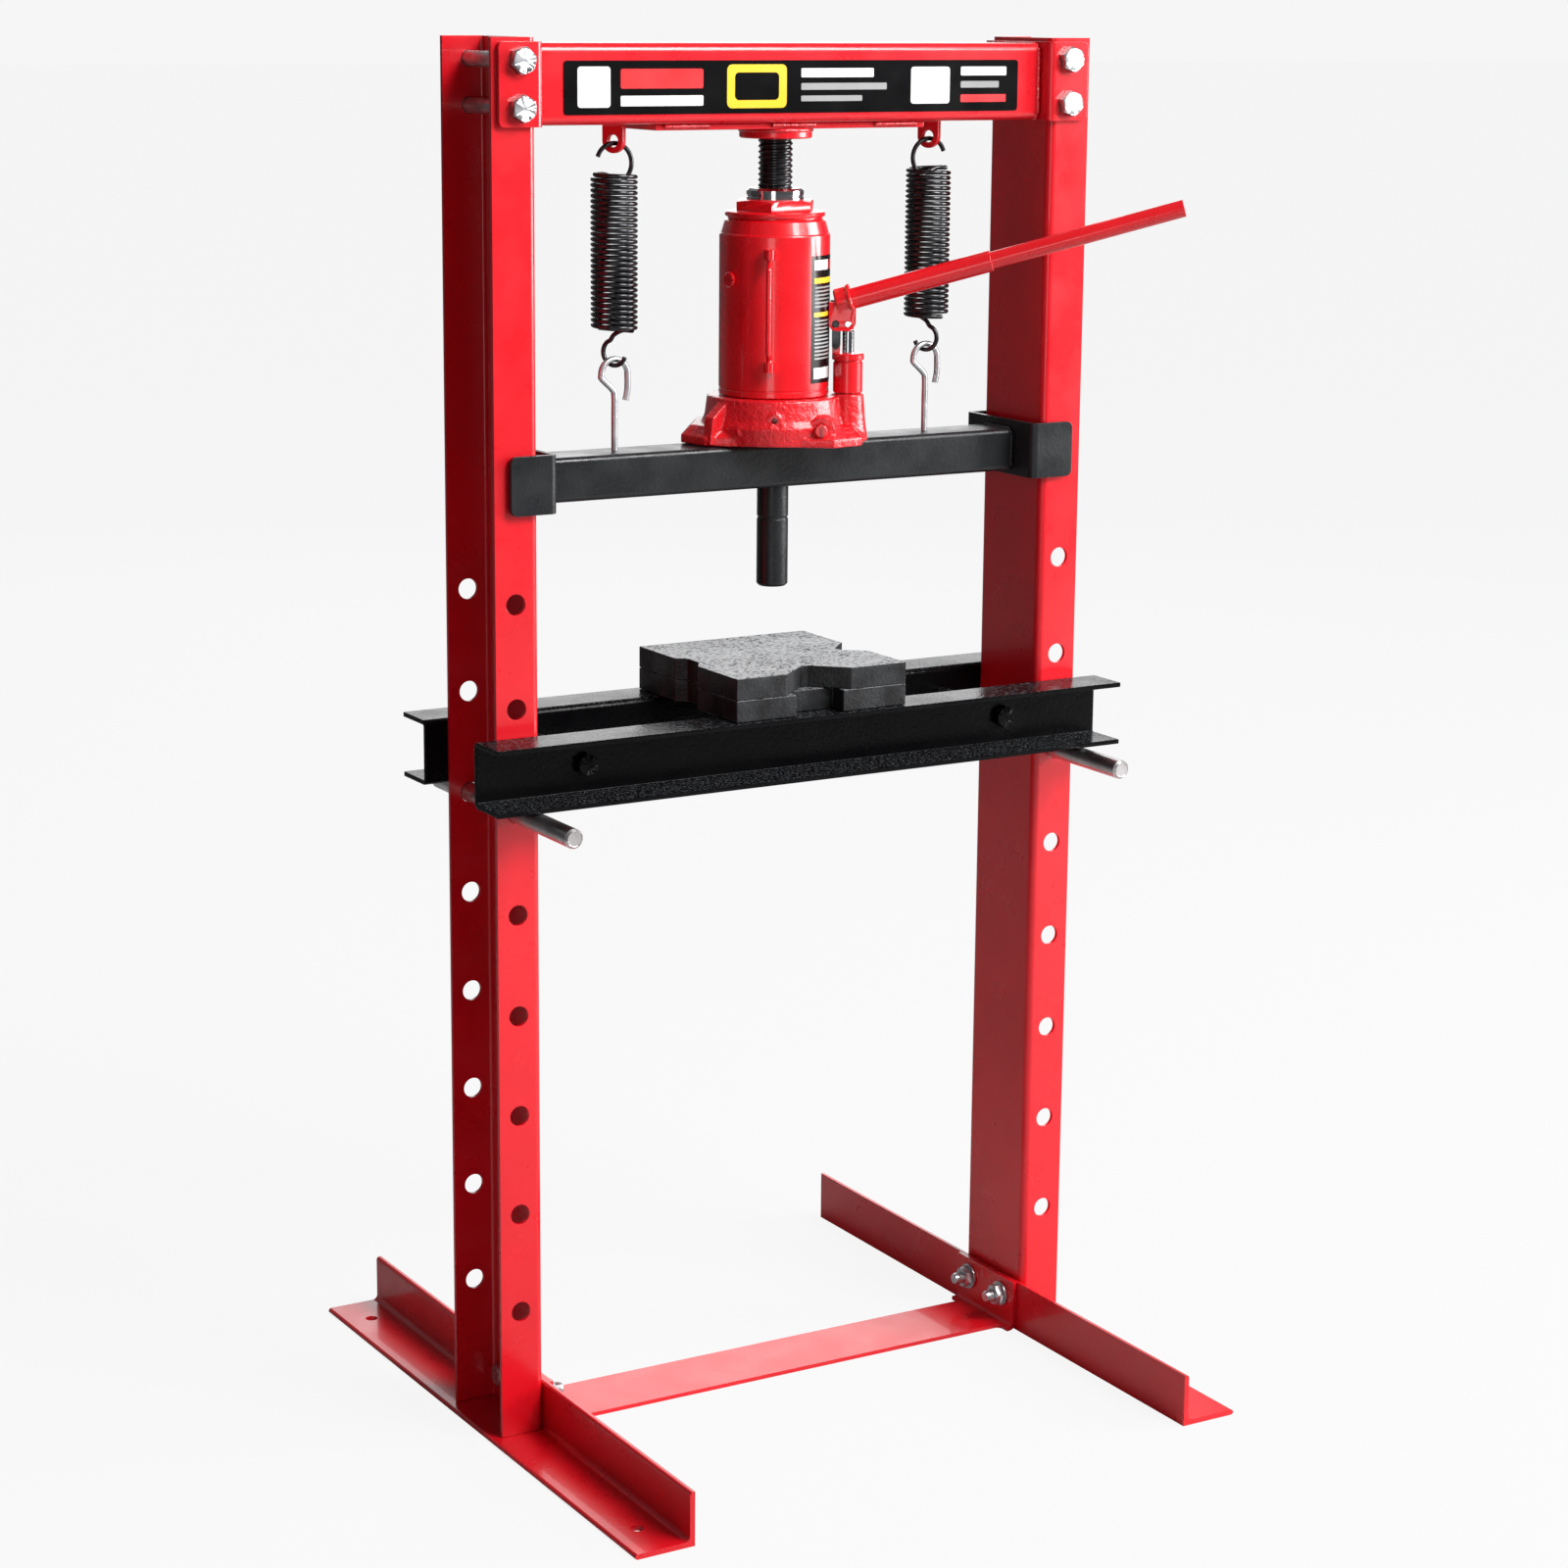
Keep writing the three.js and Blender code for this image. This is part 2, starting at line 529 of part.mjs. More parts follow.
function carryHandleGeometry() {
  const y = -tank.radius - carry.lug;
  const [low, high] = [carry.low, carry.high];
  const end = [[y, -3], [y, 1], [y, 5], [y, 8], [y - 0.7 * carry.reach, 13], [y - carry.reach, 19]];
  const points = [...end.map(([py, rise]) => [py, low + rise]),
    ...end.map(([py, rise]) => [py, high - rise]).reverse()];
  const curve = new THREE.CatmullRomCurve3(points.map(([py, pz]) => new THREE.Vector3(0, py, pz)));
  return wire(curve, carry.wire, 30, 6);
}

piece('carry_handle', carryHandleGeometry(), zinc(), jack);

const stemInner = bossFace - 12;
const stemOuter = bossFace + valve.out;
piece('release_valve', cut(rod(valve.stem, stemOuter - stemInner, 'y',
  [valve.x, -(stemInner + stemOuter) / 2, valve.z], 16),
box([valve.x - 1.5, -stemOuter - 1, valve.z - 8], [valve.x + 1.5, -stemOuter + 5, valve.z + 8])),
redPaint(), jack);

// ram and extension screw stay under the top beam
piece('ram', cut(rod(ram.radius, ram.length, 'z', [0, 0, ramTop - ram.length / 2], 28),
  rod(screw.radius + screw.play, 2 * ram.boreDepth, 'z', [0, 0, ramTop], 20)), brightSteel());

function screwGeometry() {
  const root = screw.radius - screw.thread;
  const points = [[0, screwTop - screw.length], [root, screwTop - screw.length]];
  for (let i = screw.threads; i >= 1; i -= 1) {
    const z = screwTop - i * screw.pitch;
    points.push([root, z], [screw.radius, z + 0.35 * screw.pitch],
      [screw.radius, z + 0.6 * screw.pitch]);
  }
  points.push([root, screwTop], [0, screwTop]);
  return turn(points, 14);
}

piece('extension_screw', screwGeometry(), blackSteel());
piece('screw_saddle', rod(saddle.radius, saddle.height, 'z', [0, 0, saddleTop - saddle.height / 2], 24),
  blackSteel());

// ---- pump and handle ----------------------------------------------------------------------------
const pumpLow = pump.bossTop + gap;
const pumpTop = pumpLow + pump.height + pump.capHeight;
const lowPinZ = pumpTop + link.low;
const pivotZ = lowPinZ + link.span;

function pumpCylinderGeometry() {
  const barrel = rod(pump.radius, pump.height + 1, 'z', [pumpX, 0, pumpLow + (pump.height + 1) / 2], 24);
  const cap = rod(pump.radius + pump.capWall, pump.capHeight, 'z',
    [pumpX, 0, pumpTop - pump.capHeight / 2], 24);
  const lug = box([linkX - pump.lugWidth / 2, -pump.lugHalf, pumpTop - 1],
    [linkX + pump.lugWidth / 2, pump.lugHalf, lowPinZ + pump.lugOver]);
  const bore = rod(plunger.radius + gap, 2 * (pump.height + 2), 'z', [pumpX, 0, pumpTop], 20);
  const pinHoleThrough = rod(link.pin + gap, 30, 'y', [linkX, 0, lowPinZ], 12);
  return cut(join(barrel, cap, lug), bore, pinHoleThrough);
}

piece('pump_cylinder', pumpCylinderGeometry(), redPaint(), jack);

const plateInner = pump.lugHalf + gap;
const cheekInner = plateInner + link.plate + gap;
const cheekOuter = cheekInner + socket.cheek;
const arm = pumpX - linkX;

const plungerTop = pivotZ + plunger.over;
const plungerLength = plunger.over + link.span + link.low + plunger.sunk;
const plungerRod = rod(plunger.radius, plungerLength, 'z', [pumpX, 0, plungerTop - plungerLength / 2], 20);
const plungerPin = rod(link.pin, 2 * cheekOuter + 1, 'y', [pumpX, 0, pivotZ], 12);
piece('pump_plunger', join(plungerRod, plungerPin), brightSteel(), jack);

function linkGeometry() {
  const plates = [-plateInner - link.plate, plateInner].map((y) => box(
    [linkX - link.half, y, lowPinZ - link.over], [linkX + link.half, y + link.plate, pivotZ + link.over]));
  const lowPin = rod(link.pin, 2 * (plateInner + link.plate), 'y', [linkX, 0, lowPinZ], 12);
  const topPin = rod(link.pin, 2 * cheekOuter + 1, 'y', [linkX, 0, pivotZ], 12);
  return join(lowPin, ...plates, topPin);
}

piece('pump_link', linkGeometry(), blackSteel(), jack);

const rise = THREE.MathUtils.degToRad(socket.rise);
const mouth = [linkX + socket.mouthX, 0, pivotZ + socket.mouthZ];
// a rod along +X from the socket's mouth becomes one along the handle
const alongHandle = (geometry) => geometry.rotateY(-rise).translate(...mouth);

function socketGeometry() {
  const outline = new THREE.Shape();
  outline.moveTo(-socket.round, socket.mouthZ - 2);
  outline.lineTo(-socket.round, 0);
  outline.absarc(0, 0, socket.round, Math.PI, 1.5 * Math.PI, false);
  outline.absarc(arm, 0, socket.round, 1.5 * Math.PI, 2 * Math.PI, false);
  outline.lineTo(arm + socket.round, socket.mouthZ - 6);
  outline.lineTo(socket.mouthX, socket.mouthZ - 2);
  const cheeks = [-cheekOuter, cheekInner].map((y) => raise(outline, 0, socket.cheek)
    .rotateX(Math.PI / 2).translate(linkX, y + socket.cheek, pivotZ));
  const sleeveRadius = lowerTube.radius + socket.wall;
  const sleeve = alongHandle(rod(sleeveRadius, socket.back, 'x', [-socket.back / 2, 0, 0], 24));
  const lip = alongHandle(rod(sleeveRadius + socket.lip, socket.lipLength, 'x', [-0.5, 0, 0], 24));
  const bore = alongHandle(rod(lowerTube.radius + gap, 60, 'x', [-10, 0, 0], 24));
  const plungerHole = rod(link.pin + gap, 40, 'y', [pumpX, 0, pivotZ], 12);
  // the link's pin has room to shift as the handle swings about the plunger's
  const slotHalf = link.pin + socket.slot;
  const slot = join(rod(slotHalf, 40, 'y', [linkX - socket.slide, 0, pivotZ], 12),
    box([linkX - socket.slide, -20, pivotZ - slotHalf], [linkX + socket.slide, 20, pivotZ + slotHalf]),
    rod(slotHalf, 40, 'y', [linkX + socket.slide, 0, pivotZ], 12));
  return cut(join(...cheeks, sleeve, lip), bore, plungerHole, slot);
}

piece('handle_socket', socketGeometry(), redPaint(), jack);

// A round tube along the handle, from one distance past the mouth to another.
function handleTube(size, from) {
  const centre = [from + size.length / 2, 0, 0];
  return alongHandle(cut(rod(size.radius, size.length, 'x', centre, 24),
    rod(size.radius - size.wall, size.length + 2, 'x', centre, 20)));
}

piece('handle_lower_tube', handleTube(lowerTube, -lowerTube.inSocket), redPaint(), jack);
const upperRadius = lowerTube.radius - lowerTube.wall - upperTube.play;
const upperStart = lowerTube.length - lowerTube.inSocket - upperTube.inLower;
piece('handle_upper_tube', handleTube({ ...upperTube, radius: upperRadius }, upperStart), redPaint(), jack);

// ---- bed ----------------------------------------------------------------------------------------
// the bed hangs in the highest hole that leaves the daylight between the plates and the mandrel
const bedStack = bedPin.radius + gap + bed.height + 2 * (gap + plate.thick);
const highestBedPin = mandrelTop - mandrel.length - bed.daylight - bedStack;
const bedHole = Math.floor((highestBedPin - pinHole.lowest) / pinHole.pitch);
const bedPinZ = pinHole.lowest + bedHole * pinHole.pitch;
const bedBottom = bedPinZ + bedPin.radius + gap;
const bedTop = bedBottom + bed.height;
const webInner = columnFront + gap;
const bedEnd = columnFace + column.flange + bed.overhang;
const spacerX = columnFace - spacer.columnGap;
const spacerZ = bedBottom + spacer.rise;

for (const end of ends) {
  const section = channel(bed.height, bed.flange, bed.web, bed.bend);
  const bar = raise(section, -bedEnd, bedEnd).rotateY(Math.PI / 2).rotateX(end.sign * Math.PI / 2)
    .translate(0, end.sign * webInner, (bedBottom + bedTop) / 2);
  const holes = sides.map((side) => rod(spacer.bolt + gap, 4 * bed.web, 'y',
    [side.sign * spacerX, end.sign * webInner, spacerZ], 12));
  piece(`bed_channel_${end.name}`, cut(bar, ...holes), blackPaint());
}

for (const side of sides) {
  const x = side.sign * spacerX;
  const reach = webInner + bed.web + gap;
  const parts = ends.map((end) => rod(spacer.hex, spacer.head, 'y',
    [x, end.sign * (reach + spacer.head / 2), spacerZ], 6));
  piece(`bed_spacer_${side.name}`, join(rod(spacer.tube, 2 * (webInner - gap), 'y', [x, 0, spacerZ], 20),
    rod(spacer.bolt, 2 * (reach + 1), 'y', [x, 0, spacerZ], 12), ...parts), blackPaint());
}

for (const side of sides) {
  const { radius, chamfer, front, back } = bedPin;
  const length = front + back;
  const profile = [[0, 0], [radius - chamfer, 0], [radius, chamfer], [radius, length - chamfer],
    [radius - chamfer, length], [0, length]];
  const pin = piece(`bed_pin_${side.name}`, turn(profile, 20), zinc());
  pin.position.set(side.sign * pinHoleX, back, bedPinZ);
  pin.rotation.x = Math.PI / 2;
}

// A square plate with a notch in three of its sides.
function arborPlate(frontNotch, low) {
  const [w, d] = [plate.width / 2, plate.depth / 2];
  const outline = new THREE.Shape();
  const points = [[-1, 1], [-1, 0.25], [-0.89, 0.17], [-0.89, -0.04], [-1, -0.22], [-1, -1], ...frontNotch,
    [1, -1], [1, -0.31], [0.76, -0.1], [0.76, -0.02], [1, 0.22], [1, 1]];
  outline.setFromPoints(points.map(([x, y]) => new THREE.Vector2(x * w, y * d)));
  return raise(outline, low, low + plate.thick);
}

const vNotch = [[-0.42, -1], [-0.06, -0.69], [0.01, -0.69], [0.34, -1]];
const flatNotch = [[-0.3, -1], [-0.3, -0.8], [0.25, -0.8], [0.25, -1]];
piece('arbor_plate_lower', arborPlate(flatNotch, bedTop + gap), blackSteel());
piece('arbor_plate_upper', arborPlate(vNotch, bedTop + 2 * gap + plate.thick), blackSteel());

export default press;
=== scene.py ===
import json
import math
import random

import bpy
from mathutils import Matrix, Vector


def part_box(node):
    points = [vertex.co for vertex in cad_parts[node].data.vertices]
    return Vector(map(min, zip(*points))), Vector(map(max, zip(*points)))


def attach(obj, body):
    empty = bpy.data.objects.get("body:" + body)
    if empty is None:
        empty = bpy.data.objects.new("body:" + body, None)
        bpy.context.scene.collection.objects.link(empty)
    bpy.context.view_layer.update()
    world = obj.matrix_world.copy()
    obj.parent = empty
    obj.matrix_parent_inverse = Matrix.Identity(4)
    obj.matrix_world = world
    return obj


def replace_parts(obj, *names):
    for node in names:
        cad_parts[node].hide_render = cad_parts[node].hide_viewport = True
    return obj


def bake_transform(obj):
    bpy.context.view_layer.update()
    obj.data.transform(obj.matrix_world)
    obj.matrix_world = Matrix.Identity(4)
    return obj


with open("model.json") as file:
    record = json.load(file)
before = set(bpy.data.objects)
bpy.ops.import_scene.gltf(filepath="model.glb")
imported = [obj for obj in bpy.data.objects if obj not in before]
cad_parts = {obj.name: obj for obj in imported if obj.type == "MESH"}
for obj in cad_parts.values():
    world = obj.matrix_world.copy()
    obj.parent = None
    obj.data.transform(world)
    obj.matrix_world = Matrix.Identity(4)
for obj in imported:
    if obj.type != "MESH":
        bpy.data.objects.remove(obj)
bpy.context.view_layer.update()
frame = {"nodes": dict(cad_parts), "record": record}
record = frame["record"]
slotOf = {part["node"]: part["material_slot"] for part in record["subparts"]}
bodyOf = {node: body for body, nodes in record["behaviour"]["bodies"].items() for node in nodes}
sides = (("left", -1), ("right", 1))
ends = (("front", -1), ("rear", 1))
dice = random.Random(12)

# Pieces are modelled in millimetres, and made metres when they are installed.
millimetre = 0.001


def extent(node):
    low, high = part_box(node)
    return low / millimetre, high / millimetre


# ---- modelling helpers --------------------------------------------------------------------------
def clearSelection():
    if bpy.context.mode != "OBJECT":
        bpy.ops.object.mode_set(mode="OBJECT")
    bpy.ops.object.select_all(action="DESELECT")


def activate(first, *others):
    clearSelection()
    for piece in (first, *others):
        piece.select_set(True)
    bpy.context.view_layer.objects.active = first
    return first


def edit(piece):
    activate(piece)
    bpy.ops.object.mode_set(mode="EDIT")
    bpy.ops.mesh.select_all(action="SELECT")


def closeEdit():
    bpy.ops.object.mode_set(mode="OBJECT")
    return bpy.context.object


def pick(piece, kind, test):
    # selects the edges or faces that pass the test, given their middle and their direction or normal
    activate(piece)
    bpy.ops.object.mode_set(mode="EDIT")
    bpy.ops.mesh.select_mode(type=kind)
    bpy.ops.mesh.select_all(action="DESELECT")
    bpy.ops.object.mode_set(mode="OBJECT")
    mesh = piece.data
    if kind == "EDGE":
        for item in mesh.edges:
            start, end = (mesh.vertices[index].co for index in item.vertices)
            item.select = bool(test((start + end) / 2, (end - start).normalized()))
    else:
        for item in mesh.polygons:
            item.select = bool(test(item.center, item.normal))
    bpy.ops.object.mode_set(mode="EDIT")


def modify(piece, kind, **values):
    activate(piece)
    modifier = piece.modifiers.new("Shape", kind)
    for name, value in values.items():
        setattr(modifier, name, value)
    bpy.ops.object.modifier_apply(modifier=modifier.name)
    return piece


def moved(piece, *matrices):
    for matrix in matrices:
        piece.data.transform(matrix)
    return piece


def joined(first, *others):
    activate(first, *others)
    if others:
        bpy.ops.object.join()
    return first


def copied(piece, *matrices):
    twin = piece.copy()
    twin.data = piece.data.copy()
    bpy.context.collection.objects.link(twin)
    return moved(twin, *matrices)


def cutOut(piece, *cutters):
    cutter = joined(*cutters)
    modify(piece, "BOOLEAN", operation="DIFFERENCE", solver="EXACT", object=cutter)
    bpy.data.objects.remove(cutter)
    return piece


def soften(piece, width=0.5, segments=2, angle=32):
    modify(piece, "BEVEL", width=width, segments=segments, limit_method="ANGLE",
           angle_limit=math.radians(angle), use_clamp_overlap=True)
    activate(piece)
    bpy.ops.object.shade_smooth_by_angle(angle=math.radians(angle))
    return modify(piece, "WEIGHTED_NORMAL", keep_sharp=True)


def smoothed(piece, angle=35):
    activate(piece)
    bpy.ops.object.shade_smooth_by_angle(angle=math.radians(angle))
    return piece


def arc(centre, radius, start, end, steps):
    angles = [math.radians(start + (end - start) * i / steps) for i in range(steps + 1)]
    return [(centre[0] + radius * math.cos(a), centre[1] + radius * math.sin(a)) for a in angles]


def rounded(points, steps=6):
    # points along a smooth line through the given ones
    line = [Vector(point) for point in points]
    line = [2 * line[0] - line[1], *line, 2 * line[-1] - line[-2]]
    route = []
    for a, b, c, d in zip(line, line[1:], line[2:], line[3:]):
        for i in range(steps):
            t = i / steps
            route.append(0.5 * (2 * b + (c - a) * t + (2 * a - 5 * b + 4 * c - d) * t * t
                                + (3 * b - 3 * c + d - a) * t ** 3))
    return [*route, line[-2]]


def addBlock(low, high):
    clearSelection()
    bpy.ops.mesh.primitive_cube_add(size=1)
    size = [b - a for a, b in zip(low, high)]
    middle = [(a + b) / 2 for a, b in zip(low, high)]
    return moved(bpy.context.object, Matrix.Diagonal((*size, 1)), Matrix.Translation(middle))


def addRod(radius, start, end, sides=48, tip=None):
    clearSelection()
    start, end = Vector(start), Vector(end)
    along = end - start
    bpy.ops.mesh.primitive_cone_add(vertices=sides, radius1=radius, radius2=radius if tip is None else tip,
                                    depth=along.length)
    return moved(bpy.context.object, along.to_track_quat("Z", "Y").to_matrix().to_4x4(),
                 Matrix.Translation((start + end) / 2))


def edgePath(points):
    # a chain of edges, left open for editing with all of it selected
    clearSelection()
    bpy.ops.mesh.primitive_plane_add(size=1)
    bpy.ops.object.mode_set(mode="EDIT")
    bpy.ops.mesh.select_mode(type="VERT")
    bpy.ops.mesh.merge(type="CENTER")
    bpy.ops.transform.translate(value=points[0])
    for before, after in zip(points, points[1:]):
        step = Vector(after) - Vector(before)
        bpy.ops.mesh.extrude_region_move(TRANSFORM_OT_translate={"value": step})
    bpy.ops.mesh.select_all(action="SELECT")
    return bpy.context.object


def turned(profile, steps=64):
    # a profile of (radius, z) points spun about Z
    edgePath([(radius, 0, z) for radius, z in profile])
    bpy.ops.mesh.spin(steps=steps, angle=2 * math.pi, center=(0, 0, 0), axis=(0, 0, 1))
    bpy.ops.mesh.select_all(action="SELECT")
    bpy.ops.mesh.remove_doubles(threshold=0.002)
    bpy.ops.mesh.normals_make_consistent(inside=False)
    return closeEdit()


def drawn(points, along):
    # a solid from a closed outline drawn along a vector
    edgePath(points)
    bpy.ops.mesh.edge_face_add()
    bpy.ops.mesh.extrude_region_move(TRANSFORM_OT_translate={"value": along})
    bpy.ops.mesh.select_all(action="SELECT")
    bpy.ops.mesh.normals_make_consistent(inside=False)
    return closeEdit()


def foldedSheet(corners, along, thick, bend):
    # a sheet whose outer face goes through four corners, bent at the middle two
    piece = edgePath(corners)
    bpy.ops.mesh.extrude_region_move(TRANSFORM_OT_translate={"value": along})
    closeEdit()
    along = Vector(along)
    folds = [Vector(corner) + along / 2 for corner in corners[1:3]]
    pick(piece, "EDGE", lambda middle, _: any((middle - fold).length < 0.1 for fold in folds))
    bpy.ops.mesh.bevel(offset=bend, segments=7, affect="EDGES")
    closeEdit()
    outward = (Vector(corners[1]) - Vector(corners[0])).normalized()
    web = (folds[0] + folds[1]) / 2
    face = min(piece.data.polygons, key=lambda item: (item.center - web).length)
    if face.normal.dot(outward) < 0:
        edit(piece)
        bpy.ops.mesh.flip_normals()
        closeEdit()
    return modify(piece, "SOLIDIFY", thickness=thick, offset=-1, use_even_offset=True)


def squareTube(low, high, wall, corner):
    # an open box section along X
    piece = addBlock(low, high)
    pick(piece, "EDGE", lambda _, along: abs(along.x) > 0.9)
    bpy.ops.mesh.bevel(offset=corner, segments=7, affect="EDGES")
    closeEdit()
    pick(piece, "FACE", lambda _, normal: abs(normal.x) > 0.9)
    bpy.ops.mesh.delete(type="FACE")
    closeEdit()
    return modify(piece, "SOLIDIFY", thickness=wall, offset=-1, use_even_offset=True)


def bentWire(points, radius, sides=12, swell=None):
    curve = bpy.data.curves.new("Wire", "CURVE")
    curve.dimensions = "3D"
    curve.bevel_depth = radius
    curve.bevel_resolution = (sides - 4) // 2
    curve.use_fill_caps = True
    line = curve.splines.new("POLY")
    line.points.add(len(points) - 1)
    for index, (point, place) in enumerate(zip(line.points, points)):
        point.co = (*place, 1)
        point.radius = swell[index] if swell else 1
    piece = bpy.data.objects.new("Wire", curve)
    bpy.context.collection.objects.link(piece)
    activate(piece)
    bpy.ops.object.convert(target="MESH")
    return smoothed(bpy.context.object, 60)


def weldBead(start, end, radius):
    # overlapping ripples along a line
    start, end = Vector(start), Vector(end)
    count = max(8, round((end - start).length / 0.8))
    drift = [dice.uniform(-0.12, 0.12) * radius for _ in range(count + 1)]
    points = [start.lerp(end, i / count) + Vector((drift[i], drift[-i], drift[i] / 2)) for i in range(count + 1)]
    swell = [0.86 + 0.22 * abs(math.sin(0.95 * i)) + dice.uniform(-0.05, 0.05) for i in range(count + 1)]
    swell[0] = swell[-1] = 0.5
    return bentWire(points, radius, 10, swell)


def beadsAlong(corners, radius):
    return joined(*(weldBead(a, b, radius) for a, b in zip(corners, corners[1:])))


def hexPrism(radius, height, chamfer=0.14):
    # a bolt head or nut blank from Z = 0 up, with its top corners turned off
    piece = addRod(radius, (0, 0, 0), (0, 0, height), 6)
    flat = radius * math.cos(math.pi / 6)
    top = turned([(0, -1), (radius + 1, -1), (radius + 1, height - chamfer * radius - 1),
                  (radius, height - chamfer * radius), (flat * 0.96, height), (0, height)], 48)
    modify(piece, "BOOLEAN", operation="INTERSECT", solver="EXACT", object=top)
    bpy.data.objects.remove(top)
    return soften(piece, 0.25, 2, 25)


def threadedRod(radius, start, end, pitch, plain):
    # a shank along Z, plain at first and then with thread rings, ending in a chamfer
    profile = [(0, start), (radius, start), (radius, start + plain)]
    z = start + plain
    while z + pitch < end - pitch:
        profile += [(radius - 0.55 * pitch, z + 0.35 * pitch), (radius - 0.1, z + 0.85 * pitch),
                    (radius - 0.1, z + pitch)]
        z += pitch
    profile += [(radius - 0.6 * pitch, end), (0, end)]
    return smoothed(turned(profile, 28), 30)


def install(piece, nodes, material, name):
    # puts a finished piece in the frame, made metres and painted, on the body of the first given CAD node
    nodes = [nodes] if isinstance(nodes, str) else nodes
    piece.name = name
    piece.data.name = name
    moved(piece, Matrix.Scale(millimetre, 4))
    piece.data.materials.clear()
    piece.data.materials.append(material)
    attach(piece, bodyOf[nodes[0]])
    return piece


def replaceNodes(piece, nodes, material, name):
    nodes = [nodes] if isinstance(nodes, str) else nodes
    install(piece, nodes, material, name)
    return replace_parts(piece, *nodes)


# ---- materials ----------------------------------------------------------------------------------
def makeSurface(name, look):
    # a procedural finish: mottled colour and roughness, a bumped surface, and lighter flecks on top faces that stand
    # for dust and also paint in sheen, a painted reflection of light from above
    material = bpy.data.materials.new(name)
    material.use_nodes = True
    nodes, links = material.node_tree.nodes, material.node_tree.links
    shader = nodes["Principled BSDF"]
    place = nodes.new("ShaderNodeTexCoord").outputs["Object"]

    def noise(scale, detail=4, stretch=(1, 1, 1)):
        mapping = nodes.new("ShaderNodeMapping")
        mapping.inputs["Scale"].default_value = stretch
        links.new(place, mapping.inputs["Vector"])
        texture = nodes.new("ShaderNodeTexNoise")
        texture.inputs["Scale"].default_value = scale
        texture.inputs["Detail"].default_value = detail
        links.new(mapping.outputs["Vector"], texture.inputs["Vector"])
        return texture.outputs["Fac"]

    def spread(source, low, high, start=0.38, end=0.62):
        node = nodes.new("ShaderNodeMapRange")
        for key, value in (("From Min", start), ("From Max", end), ("To Min", low), ("To Max", high)):
            node.inputs[key].default_value = value
        links.new(source, node.inputs["Value"])
        return node.outputs["Result"]

    def multiplied(first, second):
        node = nodes.new("ShaderNodeMath")
        node.operation = "MULTIPLY"
        links.new(first, node.inputs[0])
        links.new(second, node.inputs[1])
        return node.outputs["Value"]

    def mixed(factor, first, second, kind="RGBA"):
        node = nodes.new("ShaderNodeMix")
        node.data_type = kind
        slots = [socket for socket in node.inputs if socket.enabled]
        links.new(factor, slots[0])
        for socket, value in zip(slots[1:], (first, second)):
            if isinstance(value, bpy.types.NodeSocket):
                links.new(value, socket)
            else:
                socket.default_value = (*value, 1) if kind == "RGBA" else value
        return [socket for socket in node.outputs if socket.enabled][0]

    color = mixed(spread(noise(look.get("patch", 9)), 0, 1), look["color"], look["shade"])
    roughness = spread(noise(look.get("smudge", 22), 5, look.get("stretch", (1, 1, 1))), *look["roughness"])
    # lighter flecks: dust, and also a painted sheen standing in for light reflected off the surface
    if "dustAndSheenFleck" in look:
        dustAndSheenFleck = look["dustAndSheenFleck"]
        dustAndSheenSpots = spread(noise(dustAndSheenFleck["scale"], 6), 0, dustAndSheenFleck["amount"], dustAndSheenFleck["from"], dustAndSheenFleck["from"] + 0.08)
        # keeps the flecks to upward faces, where they paint in light falling from above as well as dust
        if dustAndSheenFleck.get("top"):
            normal = nodes.new("ShaderNodeSeparateXYZ")
            links.new(nodes.new("ShaderNodeNewGeometry").outputs["Normal"], normal.inputs["Vector"])
            dustAndSheenSpots = multiplied(dustAndSheenSpots, spread(normal.outputs["Z"], 0, 1, 0.6, 0.95))
        color = mixed(dustAndSheenSpots, color, dustAndSheenFleck["color"])
        roughness = mixed(dustAndSheenSpots, roughness, dustAndSheenFleck["roughness"], "FLOAT")
    links.new(color, shader.inputs["Base Color"])
    links.new(roughness, shader.inputs["Roughness"])
    shader.inputs["Metallic"].default_value = look.get("metallic", 0)
    shader.inputs["Coat Weight"].default_value = look.get("coat", 0)
    shader.inputs["Coat Roughness"].default_value = look.get("coatRoughness", 0.08)
    shader.inputs["Specular IOR Level"].default_value = look.get("specular", 0.5)

    normal = None
    for scale, depth, stretch in look["bumps"]:
        bump = nodes.new("ShaderNodeBump")
        bump.inputs["Strength"].default_value = look.get("bumpStrength", 0.5)
        bump.inputs["Distance"].default_value = depth
        links.new(noise(scale, 3, stretch), bump.inputs["Height"])
        if normal:
            links.new(normal, bump.inputs["Normal"])
        normal = bump.outputs["Normal"]
    links.new(normal, shader.inputs["Normal"])
    return material


